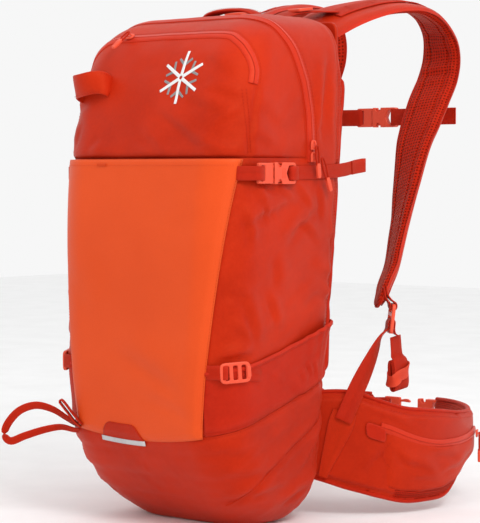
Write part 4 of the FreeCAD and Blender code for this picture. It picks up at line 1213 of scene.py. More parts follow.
def make_lower_straps(mats):
    """Lower compression straps, through their ladder locks and in under the side pockets."""
    up, wide = (0, 0, 1), COMPRESSION_WEB
    place = placing((122.4, -79.8, LOWER_STRAP_Z), (0.5, 0.866, 0.06), (0.866, -0.5, 0.0))
    obj = ladder_lock("lower_lock", place, "pack", mats, 22.0)
    pair(obj, "pack", nodes=("lower_ladder_locks",))
    near = level(LOWER_STRAP_Z, [(94, -95.4), (99.5, -97.8), (106, -96.8), (112.6, -94.8), (117.4, -91.9),
                                 (119.3, -88.8), (117.2, -86.4), (112, -88.8), (104, -93.4), (96, -94.4)])
    pair(web("lower_strap_front", near, up, wide, "pack", mats["webbing"]), "pack",
         nodes=("lower_compression_straps",))
    far = [(125.5, -26, 170), (126.6, -40, 171), (128.4, -52, 172.6), (126, -64, 174.4),
           (124.2, -70.5, 175.4), (122.6, -76, 176), (120.6, -80, 176), (117, -84.5, 176)]
    pair(web("lower_strap_rear", far, up, wide, "pack", mats["webbing"]), "pack")


# ---- Zip sliders ----

def make_slider(name, place, body, mats, node):
    """Zip slider with the bridge its pull hangs from."""
    outline = [(-4.6, -5.4), (4.6, -5.4), (4.6, 2.5), (2.4, 5.6), (-2.4, 5.6), (-4.6, 2.5)]
    base = plate(name, [rounded(outline, 1.6)], 0.6, 2.4, 0.6, place, body, mats["plastic"])
    turn = np.linspace(0, math.pi, 11)
    hoop = [Vector((0, -3.9 * math.cos(t), 2.0 + 2.3 * math.sin(t))) for t in turn]
    arch = np.array([place @ (p * MM) for p in hoop]) / MM
    side = np.tile(np.array(place.col[0][:3]), (11, 1))
    bridge = sweep(name + "_bridge", arch, side, round_outline(0.9, 8), body, mats["plastic"])
    obj = join(name, [base, bridge])
    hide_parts(node)


def make_pull(name, place, reach, body, mats, node):
    """Cord loop through the slider, with a ribbed moulded grip at its end."""
    drop = reach - 15.0
    half = [(0.0, 1.2), (1.4, 0.6), (2.1, -1.5), (2.9, -0.45 * drop), (2.4, -0.8 * drop), (1.6, -drop - 2)]
    loop = half + [(-x, y) for x, y in reversed(half[1:])]
    fine = evenly(loop + [loop[0]], 1.2)[:-1]
    line = np.array([place @ (Vector((x, y, 0)) * MM) for x, y in fine]) / MM
    out = np.tile(np.array(place.col[2][:3]), (len(line), 1))
    cord = sweep(name, line, out, round_outline(0.95, 8), body, mats["webbing"], closed=True)
    shape = rounded([(-2.6, -drop + 1), (2.6, -drop + 1), (3.1, -drop - 8), (2.5, -reach), (-2.5, -reach),
                     (-3.1, -drop - 8)], 1.8)
    grip = [plate(name + "_grip", [shape], -1.8, 1.8, 1.0, place, body, mats["plastic"])]
    for k in range(4):
        y = -drop - 4.2 - 2.3 * k
        grip.append(plate(name + "_rib", [box_outline(-2.1, 2.1, y - 0.5, y + 0.5, 0.3)], -2.15, 2.15, 0.3,
                          place, body, mats["plastic"]))
    obj = join(name, grip + [cord])
    if node:
        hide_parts(node)


def make_sliders(mats):
    """Sliders and pulls of the main zip and of the lid pocket."""
    side = 129.9
    rows = [("upper", 414.4, -1.0, 34.0, 0.12), ("lower", 401.4, 9.0, 38.0, 0.42)]
    for name, z, shift, reach, lean in rows:
        place = placing((side, 41.0, z), (0, 1, 0), (1, 0, 0))
        make_slider("zip_slider_" + name, place, name + "_slider", mats, "main_slider_" + name)
        pin = placing((side + 6.8, 41.0 + shift, z - 2.0), (0, 1, lean), (1, 0, 0))
        make_pull("zip_pull_" + name, pin, reach, name + "_pull", mats, "main_pull_" + name)
    out = Vector((0, -0.6, 0.8))
    front = float(section(532.0)[1])
    base = Vector((-58.0, front, 532.0)) + out * 2.3
    make_slider("lid_zip_slider", placing(base, (0, -out.z, out.y), out), "lid_slider", mats,
                "lid_pocket_slider")
    make_pull("lid_zip_pull", placing(base + out * 6.6, (1, 0, 0), out), 30.0, "lid_pull", mats,
              "lid_pocket_pull")


# ---- Loops and handle ----

LOOP_ROOT = np.array([-93.0, -93.0, 101.0])      # where the ski loop is sewn in
LOOP_AWAY = np.array([-0.8, -0.6, 0.0])          # the way it leaves the bag
LOOP_FLAT = np.array([0.6, -0.8, 0.0])           # along the bag's skin there
UPWARD = np.array([0, 0, 1.0])


def make_ski_loop(mats):
    """Ski loop, a band that turns as it leaves the bag and comes back."""
    path = [(-3, 4), (4, 6), (15, 13), (30, 22), (48, 26), (66, 20), (79, 6), (83, -7), (76, -14), (60, -8),
            (38, -1), (20, 2), (6, -1), (-3, -2)]
    count = len(path)
    stations = []
    for i, (a, b) in enumerate(path):
        turn = 0.5 + 0.9 * math.sin(math.pi * i / (count - 1))
        across = LOOP_FLAT * math.cos(turn) + UPWARD * math.sin(turn)
        stations.append((*(LOOP_ROOT + LOOP_AWAY * a + UPWARD * b), *across, 10))
    line, up, _ = strap_line(stations, 2.0)
    obj = sweep("ski_loop_webbing", line, up, [(a, b - 0.9) for a, b in tape_outline(9, 1.8, 0.6)], "pack",
                mats["webbing"], sharp=50)
    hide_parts("ski_loop")


def make_tool_tab(mats):
    """Small folded tab beside the ski loop."""
    shifted = LOOP_ROOT + LOOP_FLAT * 14
    path = [(-4, 4), (2, 9), (9, 18), (16, 27), (19.4, 32), (17.2, 34), (12, 28.5), (5, 19), (-2, 11),
            (-6, 7)]
    points = [tuple(shifted + LOOP_AWAY * a + UPWARD * b) for a, b in path]
    obj = web("tool_tab_webbing", points, tuple(LOOP_FLAT), 10, "pack", mats["webbing"])
    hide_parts("tool_tab")


def make_pole_loop(mats):
    """Wide loop of shell fabric on the lid, on the wearer's left."""
    path = [(-102.6, -1.4), (-103.4, -4.4), (-104, -8), (-102.6, -15), (-96, -21.5), (-85, -24.5),
            (-73, -22.5), (-63.8, -16), (-61.2, -10), (-61.2, -5.4)]
    tilted = [(x, -70 + o, 482 - 0.3 * (o + 24) + 0.12 * (x + 82), -0.12,
               np.interp(o, [-24, -4], [-0.3, 0.286]), 1, 24) for x, o in path]
    line, up, _ = strap_line(tilted, 2.0)
    bow = 1.2 * np.sin(np.linspace(0, 3 * math.pi, len(line)))[:, None] * UPWARD
    outline = [(a, b - 1.0 + 1.1 * (1 - (a / 12.5) ** 2)) for a, b in tape_outline(25, 2.0, 0.8)]
    obj = sweep("pole_loop_band", line + bow, up, outline, "lid", mats["nylon"], sharp=50)
    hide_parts("pole_loop")
    outer = np.where(np.sum(up * np.array([0, -1.0, 0]), axis=1).mean() > 0, 1, -1)
    for offset in (-10.4, 10.4):
        row = line + bow + UPWARD * offset
        stitch("lid", row + up * outer * 1.35, up * outer, *HEM_STITCH)


def make_handle(mats):
    """Haul handle over the top of the back."""
    handle = [(-38, 60, 555.5), (-36, 60, 559.5), (-31, 60, 563), (-20, 60, 565.8), (0, 60, 567),
              (20, 60, 565.8), (31, 60, 563), (36, 60, 559.5), (38, 60, 555.5)]
    line, up, _ = strap_line([(*p, 0, 1, 0, 20) for p in handle], 2.0)
    outline = [(-9, -1.6), (-10, -0.4), (-9.4, 1.0), (-6, 2.0), (0, 2.4), (6, 2.0), (9.4, 1.0), (10, -0.4),
               (9, -1.6), (0, -1.9)]
    obj = sweep("haul_handle_webbing", line, up, outline, "pack", mats["webbing"], sharp=50)
    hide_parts("haul_handle")
    top = np.where(up[:, 2:] > 0, 1, -1)
    for offset in (-6.8, 6.8):
        stitch("pack", line + np.array([0, offset, 0]) + up * top * 2.3, up * top, *HEM_STITCH)


def mark_bar(centre, turn, near, far, half):
    """Corners of one bar of the mark, at an angle round its centre."""
    a = math.radians(turn)
    u, v = np.array([math.cos(a), math.sin(a)]), np.array([-math.sin(a), math.cos(a)])
    c = np.array(centre, float)
    return [c + u * near - v * half, c + u * near + v * half, c + u * far + v * half * 0.8,
            c + u * far - v * half * 0.8]


MARK_CENTRE = (42.0, 485.0)


def make_mark(skin, mats):
    """Plain embroidered snow star on the lid."""
    arms = [mark_bar(MARK_CENTRE, 90 + 60 * k, 2.0, 29.0, 1.9) for k in range(6)]
    twigs = []
    for k in range(6):
        a = math.radians(90 + 60 * k)
        joint = np.array(MARK_CENTRE) + 14.0 * np.array([math.cos(a), math.sin(a)])
        twigs += [mark_bar(joint, 90 + 60 * k + side * 52, 1.0, 11.0, 1.5) for side in (-1, 1)]
    for colour, patches, lift in (("grey", twigs, 0.5), ("white", arms, 0.75)):
        pieces = []
        for k, (a, b, c, d) in enumerate(patches):
            u = np.linspace(0, 1, 5)[None, :, None]
            v = np.linspace(0, 1, 16)[:, None, None]
            xz = ((a * (1 - u) + b * u) * (1 - v) + (d * (1 - u) + c * u) * v).reshape(-1, 2)
            points, up = settle(skin, around(run_at_x(xz[:, 0], xz[:, 1]), xz[:, 1]), 0, 0)
            points = points + up * lift
            pieces.append(sheet_grid("mark_%s_%d" % (colour, k), points.reshape(16, 5, 3), "lid",
                                     mats[colour], 0.5, flip=True))
        for piece in pieces:
            bpy.context.view_layer.objects.active = piece
            bpy.ops.object.modifier_apply(modifier="thickness")
        join("mark_" + colour, pieces)


# ---- Padded forms ----

def closed_grid(name, points, body, materials, zone=None):
    """Closed form from rings of points; zone(column) picks the material of each face."""
    rows, cols = points.shape[:2]
    faces = grid_faces(rows, cols, close_cols=True)
    zones = [zone(j) for j in range(cols)] * (rows - 1) if zone else [0] * len(faces)
    faces += [tuple(range(cols))[::-1], tuple(range((rows - 1) * cols, rows * cols))]
    around_ring = np.linalg.norm(np.diff(points, axis=1, append=points[:, :1]), axis=2).mean(axis=0)
    along = np.linalg.norm(np.diff(points, axis=0), axis=2).mean(axis=1)
    u = np.concatenate([[0], np.cumsum(around_ring)[:-1]])
    v = np.concatenate([[0], np.cumsum(along)])
    uvs = np.stack(np.meshgrid(u, v), axis=-1).reshape(-1, 2)
    obj = new_object(name, points.reshape(-1, 3), faces, body, materials, uvs, sharp=50)
    obj.data.polygons.foreach_set("material_index", zones + [0, 0])
    bm = bmesh.new()
    bm.from_mesh(obj.data)
    bmesh.ops.recalc_face_normals(bm, faces=bm.faces)
    bm.to_mesh(obj.data)
    bm.free()
    return obj


def ease(x):
    """Smooth step of a share, held between 0 and 1."""
    x = np.clip(x, 0, 1)
    return x * x * (3 - 2 * x)


def rounding(near, radius):
    """Share of a round corner's inset at a distance from the end of a panel."""
    return 1 - np.sqrt(np.clip(1 - (1 - np.clip(near / radius, 0, 1)) ** 2, 0, 1))


def inflate(obj, voxel=5.0, pressure=4.0, cap=5.0, frames=20):
    """Swells a closed form by a short cloth simulation, moving no point further than cap."""
    scene = bpy.context.scene
    bpy.ops.object.select_all(action="DESELECT")
    bpy.context.view_layer.objects.active = obj
    obj.select_set(True)
    even = obj.modifiers.new("even", "REMESH")
    even.mode = "VOXEL"
    even.voxel_size = voxel * MM
    bpy.ops.object.modifier_apply(modifier="even")
    rest = np.array([v.co for v in obj.data.vertices])
    cloth = obj.modifiers.new("swell", "CLOTH")
    cloth.settings.quality = 5
    cloth.settings.mass = 0.3
    cloth.settings.tension_stiffness = 12
    cloth.settings.compression_stiffness = 12
    cloth.settings.bending_stiffness = 0.4
    cloth.settings.use_pressure = True
    cloth.settings.uniform_pressure_force = pressure
    cloth.settings.effector_weights.gravity = 0
    for frame_number in range(1, frames + 1):
        scene.frame_set(frame_number)
    swollen = obj.evaluated_get(bpy.context.evaluated_depsgraph_get())
    moved = np.array([v.co for v in swollen.data.vertices]) - rest
    length = np.linalg.norm(moved, axis=1, keepdims=True)
    moved = moved * np.minimum(1, cap * MM / np.maximum(length, 1e-9))
    obj.modifiers.remove(cloth)
    obj.data.vertices.foreach_set("co", (rest + moved).ravel())
    finer = obj.modifiers.new("finer", "SUBSURF")
    finer.levels = 1
    bpy.ops.object.modifier_apply(modifier="finer")
    scene.frame_set(1)


def dress(obj, reshape, cloth_at, zone):
    """Final relief, cloth coordinates and materials of a padded form, from its points in millimetres."""
    mesh = obj.data
    normals = np.array([v.normal for v in mesh.vertices])
    points = reshape(np.array([v.co for v in mesh.vertices]) / MM, normals)
    mesh.vertices.foreach_set("co", (points * MM).ravel())
    mesh.update()
    if not mesh.uv_layers:
        mesh.uv_layers.new(name="cloth")
    corner = np.array([loop.vertex_index for loop in mesh.loops])
    mesh.uv_layers[0].data.foreach_set("uv", (cloth_at(points)[corner] * MM).ravel())
    centres = np.array([face.center for face in mesh.polygons]) / MM
    facing = np.array([face.normal for face in mesh.polygons])
    mesh.polygons.foreach_set("material_index", zone(centres, facing).astype(int))
    mesh.shade_smooth()


STRAP = [
    (57, 129, 543, 0.96, 0.0, -0.28, 66, 11), (64, 171, 562, 0.95, -0.05, -0.30, 66, 11),
    (71, 210, 573, 0.95, -0.15, -0.25, 66, 11), (78, 250, 580, 0.95, -0.22, -0.20, 66, 11),
    (83, 290, 580, 0.95, -0.28, -0.18, 66, 11), (86, 322, 570, 0.94, -0.28, -0.20, 66, 11),
    (89, 341, 549, 0.94, -0.25, -0.22, 65, 11), (90, 345, 524, 0.95, -0.22, -0.20, 64, 11),
    (91, 336, 498, 0.95, -0.22, -0.20, 64, 11), (93, 314, 468, 0.95, -0.23, -0.20, 64, 11),
    (96, 292, 438, 0.95, -0.27, -0.15, 64, 11), (99, 274, 410, 0.93, -0.35, -0.10, 62, 11),
    (104, 253, 365, 0.87, -0.48, -0.05, 60, 11), (110, 232, 322, 0.78, -0.62, 0.0, 58, 11),
    (118, 207, 281, 0.72, -0.69, 0.0, 52, 11), (125, 181, 254, 0.70, -0.71, 0.0, 44, 10),
    (129, 164, 234, 0.70, -0.71, 0.0, 34, 8),
]


STRAP_ROWS = evenly(STRAP, 3.0)
STRAP_LINE = STRAP_ROWS[:, :3]
STRAP_RUN = distances(STRAP_LINE)
STRAP_TIP = 15          # length over which the strap's lower end is rounded
PAD_FACE = 65           # points of the section on the wearer's side


def strap_axes():
    """Ways across the strap and towards the wearer, at each row."""
    along = unit(np.gradient(STRAP_LINE, axis=0))
    across = unit(STRAP_ROWS[:, 3:6])
    across = unit(across - along * np.sum(across * along, axis=1, keepdims=True))
    return across, np.cross(along, across)


def make_shoulder_straps(mats):
    """Padded straps: perforated mesh towards the wearer, cloth outside, with bound edges."""
    across, inward = strap_axes()
    half_width, half_thick = STRAP_ROWS[:, 6:7] / 2, STRAP_ROWS[:, 7:8] / 2
    run = STRAP_RUN[:, None]
    left = run[-1] - run
    tip = np.sqrt(np.clip(1 - np.clip(1 - left / STRAP_TIP, 0, 1) ** 2, 0.02, 1))
    u = np.concatenate([np.linspace(1, -1, PAD_FACE), np.linspace(-1, 1, 33)[1:-1]])
    front = np.arange(len(u)) < PAD_FACE
    pad = ease((0.88 - np.abs(u)) / 0.16)
    high = 0.26 + 0.66 * pad + 0.16 * (1 - u**2) * pad - 0.26 * np.exp(-((np.abs(u) - 0.46) / 0.035) ** 2)
    low = -(0.26 + 0.5 * ease((1 - np.abs(u)) / 0.3) + 0.1 * (1 - u**2))
    h = np.where(front, high, low)
    wave = 0.10 * np.sin(run / 13) * np.sin(2.1 * u + run / 31)
    bend = np.exp(-((run - 262) / 50) ** 2)
    ripple = 0.28 * bend * np.sin(run / 4.2 + 1.3 * np.sin(run / 9)) * np.where(front, pad * (1 - u**2), 0)
    height = (h + np.where(front, wave * pad + ripple, 0)) * half_thick * tip ** 0.7
    reach = u * half_width * tip
    points = STRAP_LINE[:, None] + across[:, None] * reach[..., None] + inward[:, None] * height[..., None]

    def zone(j):
        """Mesh on the wearer's side, binding at the edges, cloth outside."""
        if abs(u[j] + u[(j + 1) % len(u)]) / 2 > 0.87:
            return 2
        return 1 if j < PAD_FACE - 1 else 0

    obj = closed_grid("strap_pad", points, "pack", [mats["nylon"], mats["strap_mesh"], mats["binding"]],
                      zone)
    near = slice(4, -6)
    for side in (-1, 1):
        for share in (0.46, 0.81, 0.95):
            row = STRAP_LINE + across * (side * share * half_width * tip)
            depth = h[np.abs(u - side * share).argmin()] * half_thick + 0.2
            for flip in ([1, 1, 1], [-1, 1, 1]):
                stitch("pack", (row + inward * depth)[near] * flip, inward[near] * flip, *EDGE_STITCH)
    for piece in pair(obj, "pack", nodes=("shoulder_strap_right",),
                      other_nodes=("shoulder_strap_left",)):
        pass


def make_shoulder_webbing(mats):
    """Webbing tacked down along the outside of the shoulder straps."""
    across, inward = strap_axes()
    outside = -inward
    level_line = STRAP_LINE + outside * (5.2 * STRAP_ROWS[:, 7:8] / 11)
    part = slice(14, -3)
    daisy = sweep("shoulder_webbing", level_line[part], outside[part], tape_outline(20, 1.5, 0.5), "pack",
                  mats["webbing"], sharp=50)
    pair(daisy, "pack")
    for k in range(22, len(STRAP_LINE) - 22, 12):
        tack = np.array([level_line[k] + outside[k] * 1.9 + across[k] * s for s in np.linspace(-8, 8, 9)])
        for flip in ((1, 1, 1), (-1, 1, 1)):
            stitch("pack", tack * flip, np.tile(outside[k], (9, 1)) * flip, 2.2, 1.9, 0.34)


def carried(place, points):
    """Points of a part's own frame, in the bag's frame, in millimetres."""
    return [tuple((place @ (Vector(p) * MM)) / MM) for p in points]


def make_adjusters(mats):
    """Adjusters at the lower ends of the straps, with the webbing that runs through them."""
    place = placing((140, 173, 220), (-0.08, -0.08, -1.0), (0.7, 0.7, -0.1))
    across = tuple(place.col[1][:3])
    obj = ladder_lock("strap_lock", place, "pack", mats)
    pair(obj, "pack", nodes=("strap_ladder_locks",))
    loop = carried(place, [(-34, 0, -13), (-24, 0, -10.5), (-17, 0, -4.5), (-12, 0, -3.0), (-9.4, 0, 0),
                           (-12, 0, 3.3), (-17.5, 0, 2.6), (-21, 0, -3), (-27, 0, -8.4), (-36, 0, -11)])
    pair(web("strap_loop", loop, across, 19, "pack", mats["webbing"]), "pack")
    load = [(127.0, 100.5, 109), (129.8, 105.5, 121), (133.8, 115.4, 142), (134.6, 138.5, 171),
            (135.6, 158, 197)]
    load += carried(place, [(13, 0, -3.6), (5, 0, -3.4), (0.6, 0, -0.6), (1.6, 0, 2.6), (5, 0, 3.7),
                            (11, 0, 3.8), (16.5, 0, 5.6), (18.4, 0, 9.2)])
    turned = [(0.66, 0.72, -0.5)] * 3 + [(0.14, 0.9, -0.3), (-0.38, 0.81, -0.1)]
    table = [(*p, *(turned[k] if k < 5 else across), 20) for k, p in enumerate(load)]
    line, up, _ = strap_line(table, 2.0)
    outline = [(a, b - 0.8) for a, b in tape_outline(19.5, 1.6, 0.6)]
    obj = sweep("strap_adjust_webbing", line, up, outline, "pack", mats["webbing"], sharp=50)
    pair(obj, "pack", nodes=("strap_webbing",))


def make_gussets(mats):
    """Hemmed gussets that take the adjusting webbing's load into the belt wings."""
    table = []
    stations = [(-45.2, 118, 25), (-46.6, 104, 27), (-49.2, 81, 20), (-51.6, 60, 13), (-53, 46, 8)]
    for angle, z, width in stations:
        turn = math.radians(angle)
        table.append((*ring(angle, RING[1] + 8.2, z), math.sin(turn), -math.cos(turn), 0.36, width))
    line, up, width = strap_line(table, 3.0)
    outline = [(a, b - 0.9) for a, b in tape_outline(2, 1.8, 0.02)]
    share = np.stack([width / 2, np.ones(len(width))], axis=1)
    obj = sweep("strap_gusset", line, up, outline, "pack", mats["nylon"], scale=share, sharp=50)
    pair(obj, "pack", nodes=("strap_gussets",))
    side_way = np.cross(unit(np.gradient(line, axis=0)), up)
    for side in (-1, 1):
        rim = line + side_way * (side * width / 2)[:, None]
        hem = sweep("gusset_hem", rim, up, [(-0.9, -1.0), (-0.9, 1.0), (0.3, 1.1), (0.7, 0), (0.3, -1.1)],
                    "pack", mats["nylon"])
        hem.name = "gusset_hem_%s" % ("front" if side > 0 else "rear")
        pair(hem, "pack")
    out = up[len(up) // 2]
    for flip in ((1, 1, 1), (-1, 1, 1)):
        box_stitch("pack", (line[3] + out * 1.1) * flip, unit(line[6] - line[1]) * flip, side_way[3] * flip,
                   out * flip, 13, 14)


def make_rolls(mats):
    """Rolled tails of the adjusting webbing, each held by an elastic keeper."""
    pin = np.array([146.0, 178.0, 200.0])
    turn = np.linspace(math.pi / 2, -4.4 * math.pi, 150)
    shrink = 1 - 0.74 * (math.pi / 2 - turn) / (math.pi / 2 - turn[-1])
    coil_x = 5.6 * shrink * np.sign(np.cos(turn)) * np.abs(np.cos(turn)) ** 0.8
    coil_z = (12 + 7 * shrink) * np.sign(np.sin(turn)) * np.abs(np.sin(turn)) ** 0.55
    coil = np.stack([coil_x, 0 * turn, coil_z - 43], axis=1)
    tail = np.stack([np.zeros(9), np.zeros(9), np.linspace(0, -22, 9)], axis=1)
    path = np.concatenate([tail, coil[3:]])
    lean = math.radians(9)
    path = np.stack([path[:, 0], -path[:, 2] * math.sin(lean) * 0.8, path[:, 2]], axis=1) + pin - [0, 5, 0]
    along = unit(np.gradient(path, axis=0))
    up = unit(np.cross(along, np.tile([0, 1.0, 0.12], (len(path), 1))))
    outline = [(a, b - 0.7) for a, b in tape_outline(26, 1.4, 0.5)]
    share = np.ones((len(path), 2))
    share[:, 0] = np.interp(np.arange(len(path)), [0, 6, 14], [0.76, 0.78, 1.0])
    roll = sweep("tail_roll", path, up, outline, "roll_right", mats["webbing"], scale=share, sharp=60)
    turn = np.linspace(0, 2 * math.pi, 49)[:-1]
    hoop = np.stack([7.2 * np.sign(np.cos(turn)) * np.abs(np.cos(turn)) ** 0.6,
                     14.2 * np.sign(np.sin(turn)) * np.abs(np.sin(turn)) ** 0.5,
                     8.0 * np.sin(turn) - 43], axis=1) + pin
    out = unit(np.stack([np.cos(turn), np.sin(turn), 0 * turn], axis=1))
    keeper = sweep("roll_keeper", hoop, out, [(a, b - 0.5) for a, b in tape_outline(13, 1.3, 0.4)],
                   "roll_right", mats["keeper"], closed=True)
    pair(join("tail_roll", [roll, keeper]), "roll_right", "roll_left",
         ("webbing_roll_right",), ("webbing_roll_left",))


def make_lifters(mats):
    """Load lifters over the top of the back, with their small adjusters, and the yoke."""
    path = [(38, 84, 556.5), (40, 92, 558.6), (44, 112, 565), (49, 132, 568.2), (57, 158, 569.4),
            (61, 170, 569.6)]
    pair(web("load_lifter", path, (0.98, 0, -0.15), 20, "pack", mats["webbing"]), "pack",
         nodes=("load_lifters",))
    place = placing((47.2, 124, 569.2), (0.22, 1, 0.14), (0, -0.1, 1))
    slots = [box_outline(x, x + 3.4, -8.5, 8.5, 0.9) for x in (-7.4, -1.2, 4.8)]
    lock = plate("lifter_lock", [box_outline(-10.5, 10.5, -11.5, 11.5, 3.0)] + slots, -1.6, 1.8, 0.7, place,
                 "pack", mats["plastic"])
    pair(lock, "pack")
    place = placing((0, 128.9, 529.5), (1, 0, 0), (0, 1, 0))
    yoke = plate("yoke_panel", [box_outline(-96, 96, -24.5, 24.5, 12)], -2.5, 2.5, 1.5, place, "pack",
                 mats["nylon"])
    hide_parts("harness_yoke")
    for z in (510, 549):
        line = np.array([(x, 131.7, z) for x in np.linspace(-86, 86, 60)])
        stitch("pack", line, np.tile([0, 1.0, 0], (60, 1)), *EDGE_STITCH)


STERNUM_Z = 452


def make_sternum(mats):
    """Sternum strap with its buckle, on riders that slide on the shoulder straps."""
    up = (0, 0, 1)
    right = level(STERNUM_Z, [(122, 324.2), (96, 324.2), (60, 324), (30, 324)])
    obj = web("sternum_webbing_right", right, up, 20, "sternum", mats["webbing"], 1.3)
    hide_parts("sternum_webbing")
    tail = level(STERNUM_Z, [(88, 325.9), (108, 325.9), (120, 325.9), (123.6, 325.2), (124, 324.2)])
    web("sternum_tail", tail, up, 20, "sternum", mats["webbing"], 1.4)
    loop = level(STERNUM_Z, [
        (50, 325.9), (42, 325.8), (35, 325.6), (30, 326.6), (27.8, 329.6), (29.6, 333.4), (34, 334.6),
        (38.4, 333.2), (43, 330), (49, 327.6), (56, 327.2)])
    web("sternum_loop", loop, up, 20, "sternum_buckle", mats["webbing"], 1.3)
    left = level(STERNUM_Z, [
        (-122, 324.4), (-96, 324.4), (-60, 324), (-36, 324.2), (-28, 325.6), (-21.5, 326.4), (-17.6, 327.6),
        (-16.8, 330), (-18.6, 332.6), (-23, 332.8), (-28, 331), (-36, 327.2), (-50, 325.9), (-76, 326)])
    obj = web("sternum_webbing_left", left, up, 20, "sternum", mats["webbing"])
    place = placing((0, 329.4, STERNUM_Z), (1, 0, 0), (0, 1, 0))
    obj = buckle_male("sternum_male", 24, place, "sternum", mats)
    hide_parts("sternum_buckle_male")
    obj = buckle_female("sternum_female", 24, place, "sternum_buckle", mats)
    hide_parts("sternum_buckle_female")
    place = placing((95, 303, 453), (1, 0, 0), (0, 0.811, -0.585))
    base = plate("sternum_rider", [box_outline(-14, 14, -6.5, 6.5, 3)], 9.4, 11.0, 0.5, place, "sternum",
                 mats["plastic"])
    post = plate("rider_post", [box_outline(-8, 8, -5, 5, 2)], 10.4, 16.4, 0.5, place, "sternum",
                 mats["plastic"])
    pair(join("sternum_rider", [base, post]), "sternum")
    for x, y in ((-66, 326.9), (106, 326.8)):
        box_stitch("sternum", (x, y, STERNUM_Z), (1, 0, 0), (0, 0, 1), (0, 1, 0), 12, 14)


# ---- Pads on the back ----

def pad_form(name, half, face, channels, heights, mats):
    """Mesh-covered pad on the back, swollen, then sewn with its channels."""
    z = np.linspace(*heights, 120)
    share = np.concatenate([np.linspace(1, -1, 90), np.linspace(-1, 1, 40)[1:-1]])
    front = np.arange(len(share)) < 90
    near = np.minimum(z - heights[0], heights[1] - z)
    wide = half - 16 * rounding(near, 18)
    x = share * wide[:, None]
    zz = z[:, None] + 0 * x

    def rim(px, pz):
        """Share of the full thickness near the pad's edge."""
        close = np.minimum(pz - heights[0], heights[1] - pz)
        out = half - 16 * rounding(close, 18)
        return ease((out - np.abs(px)) / 12) * ease(close / 12)

    back = section(zz)[2] + 0.6
    thick = 3.0 + (face(zz) - 5.5) * rim(x, zz)
    points = np.stack([x, np.where(front, back + thick, back), zz], axis=-1)
    obj = closed_grid(name, points, "pack", [mats["binding"], mats["mesh"]])
    inflate(obj, cap=4.0)

    def reshape(p, normals):
        """Channels pressed into the face; the rear face kept flat against the bag."""
        px, py, pz = p.T
        wall = section(pz)[2] + 0.5
        deep = channels(px, pz) * rim(px, pz) * np.clip(normals[:, 1], 0, 1)
        reach = wall + face(pz)
        return np.stack([np.clip(px, -half, half), np.clip(py + deep, wall, reach),
                         np.clip(pz, heights[0], heights[1])], axis=-1)

    def zone(centres, facing):
        """Mesh on the face, binding round the edge and on the back."""
        return (facing[:, 1] > 0.2) & (rim(centres[:, 0], centres[:, 2]) > 0.2)

    dress(obj, reshape, lambda p: p[:, ::2], zone)
    return obj


def make_pads(mats):
    """Back pad with its air channels, and lumbar pad."""

    def channels(x, z):
        """Upright channel in the middle, slanting channels across."""
        deep = -6.5 * np.exp(-(x / 12) ** 2) * ease((z - 175) / 15) * ease((478 - z) / 15)
        for height in (222, 292, 362, 432):
            deep = deep - 3.6 * np.exp(-((z - height - 0.16 * np.abs(x)) / 5.0) ** 2)
        return deep

    obj = pad_form("back_pad_cover", 110, lambda z: 15.6 + 0 * z, channels, (152, 500), mats)
    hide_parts("back_pad")

    def lumbar(x, _z):
        """Two lobes, one each side of the spine."""
        deep = -6.0 * np.exp(-(x / 15) ** 2)
        for side in (-1, 1):
            deep = deep - 2.8 * np.exp(-((side * x - 72) / 4.5) ** 2)
        return deep

    def lumbar_thick(z):
        """Thickness from the bag's back to the pad's face."""
        return np.interp(z, [36, 92, 147], [113, 121, 117]) - section(z)[2]

    obj = pad_form("lumbar_pad_cover", 112, lumbar_thick, lumbar, (36, 147), mats)
    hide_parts("lumbar_pad")


def make_frame(mats):
    """Frame board and its stays, behind the back pad."""
    z = np.linspace(160, 480, 90)
    near = np.minimum(z - 160, 480 - z)
    wide = 86 - 14 * rounding(near, 14)
    x = np.linspace(-1, 1, 40) * wide[:, None]
    y = section(z)[2][:, None] - 5.3 + 0.25 * np.cos(x / 9) + 0 * x
    points = np.stack([x, y, z[:, None] + 0 * x], axis=-1)
    obj = sheet_grid("frame_board", points, "pack", mats["board"], 1.4)
    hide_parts("frame_sheet")
    z = np.linspace(170, 470, 80)
    line = np.stack([45 + 0 * z, section(z)[2] - 7.6, z], axis=-1)
    outline = [(a, b - 2.4) for a, b in tape_outline(12, 2.6, 0.8)]
    stay = sweep("frame_stay", line, np.tile([0, 1.0, 0], (80, 1)), outline, "pack", mats["metal"])
    pair(stay, "pack", nodes=("frame_stays",))


# ---- Hip belt ----

RING = (232.0, 171.0)            # y of the centre, mean radius
WING = [(-59, 46, 138), (-52, 40, 141), (-45, 33, 141), (-39, 28, 138), (-31, 21, 129), (-21, 14, 120),
        (-11, 13, 116), (0, 15, 112), (7, 27, 109), (13, 41, 107), (22, 49, 105), (33, 55, 104),
        (50, 60, 104), (64, 63, 104), (76, 66, 103)]
WING_HALF = 7           # half thickness of the wing
WING_FACE = 178         # radius of its outer face, for distances round it
WING_TIP = 76           # angle of its end
WING_FOLDS = [
    ((-112, 116), (-60, 96), 8, 1.8), ((20, 100), (100, 92), 12, 1.4), ((110, 98), (200, 84), 14, 1.6),
    ((120, 72), (215, 80), 10, -1.2), ((-120, 54), (-92, 80), 8, 1.5),
]
WING_SLIM = 1.8         # taken off the wing's half thickness before it is swollen
WING_EDGE = 3.2         # least half thickness of the wing before it is swollen
BELT_ZIP = [(-32, 99), (-28, 95), (-21, 86), (-14, 79), (-6, 74.5), (4, 73.5), (14, 74.5), (22, 76.5),
            (29, 79)]
BELT_POCKET = [(-32, 36), (-24, 28), (-14, 25), (-4, 26), (5, 33), (13, 46), (20, 51), (29, 57)]
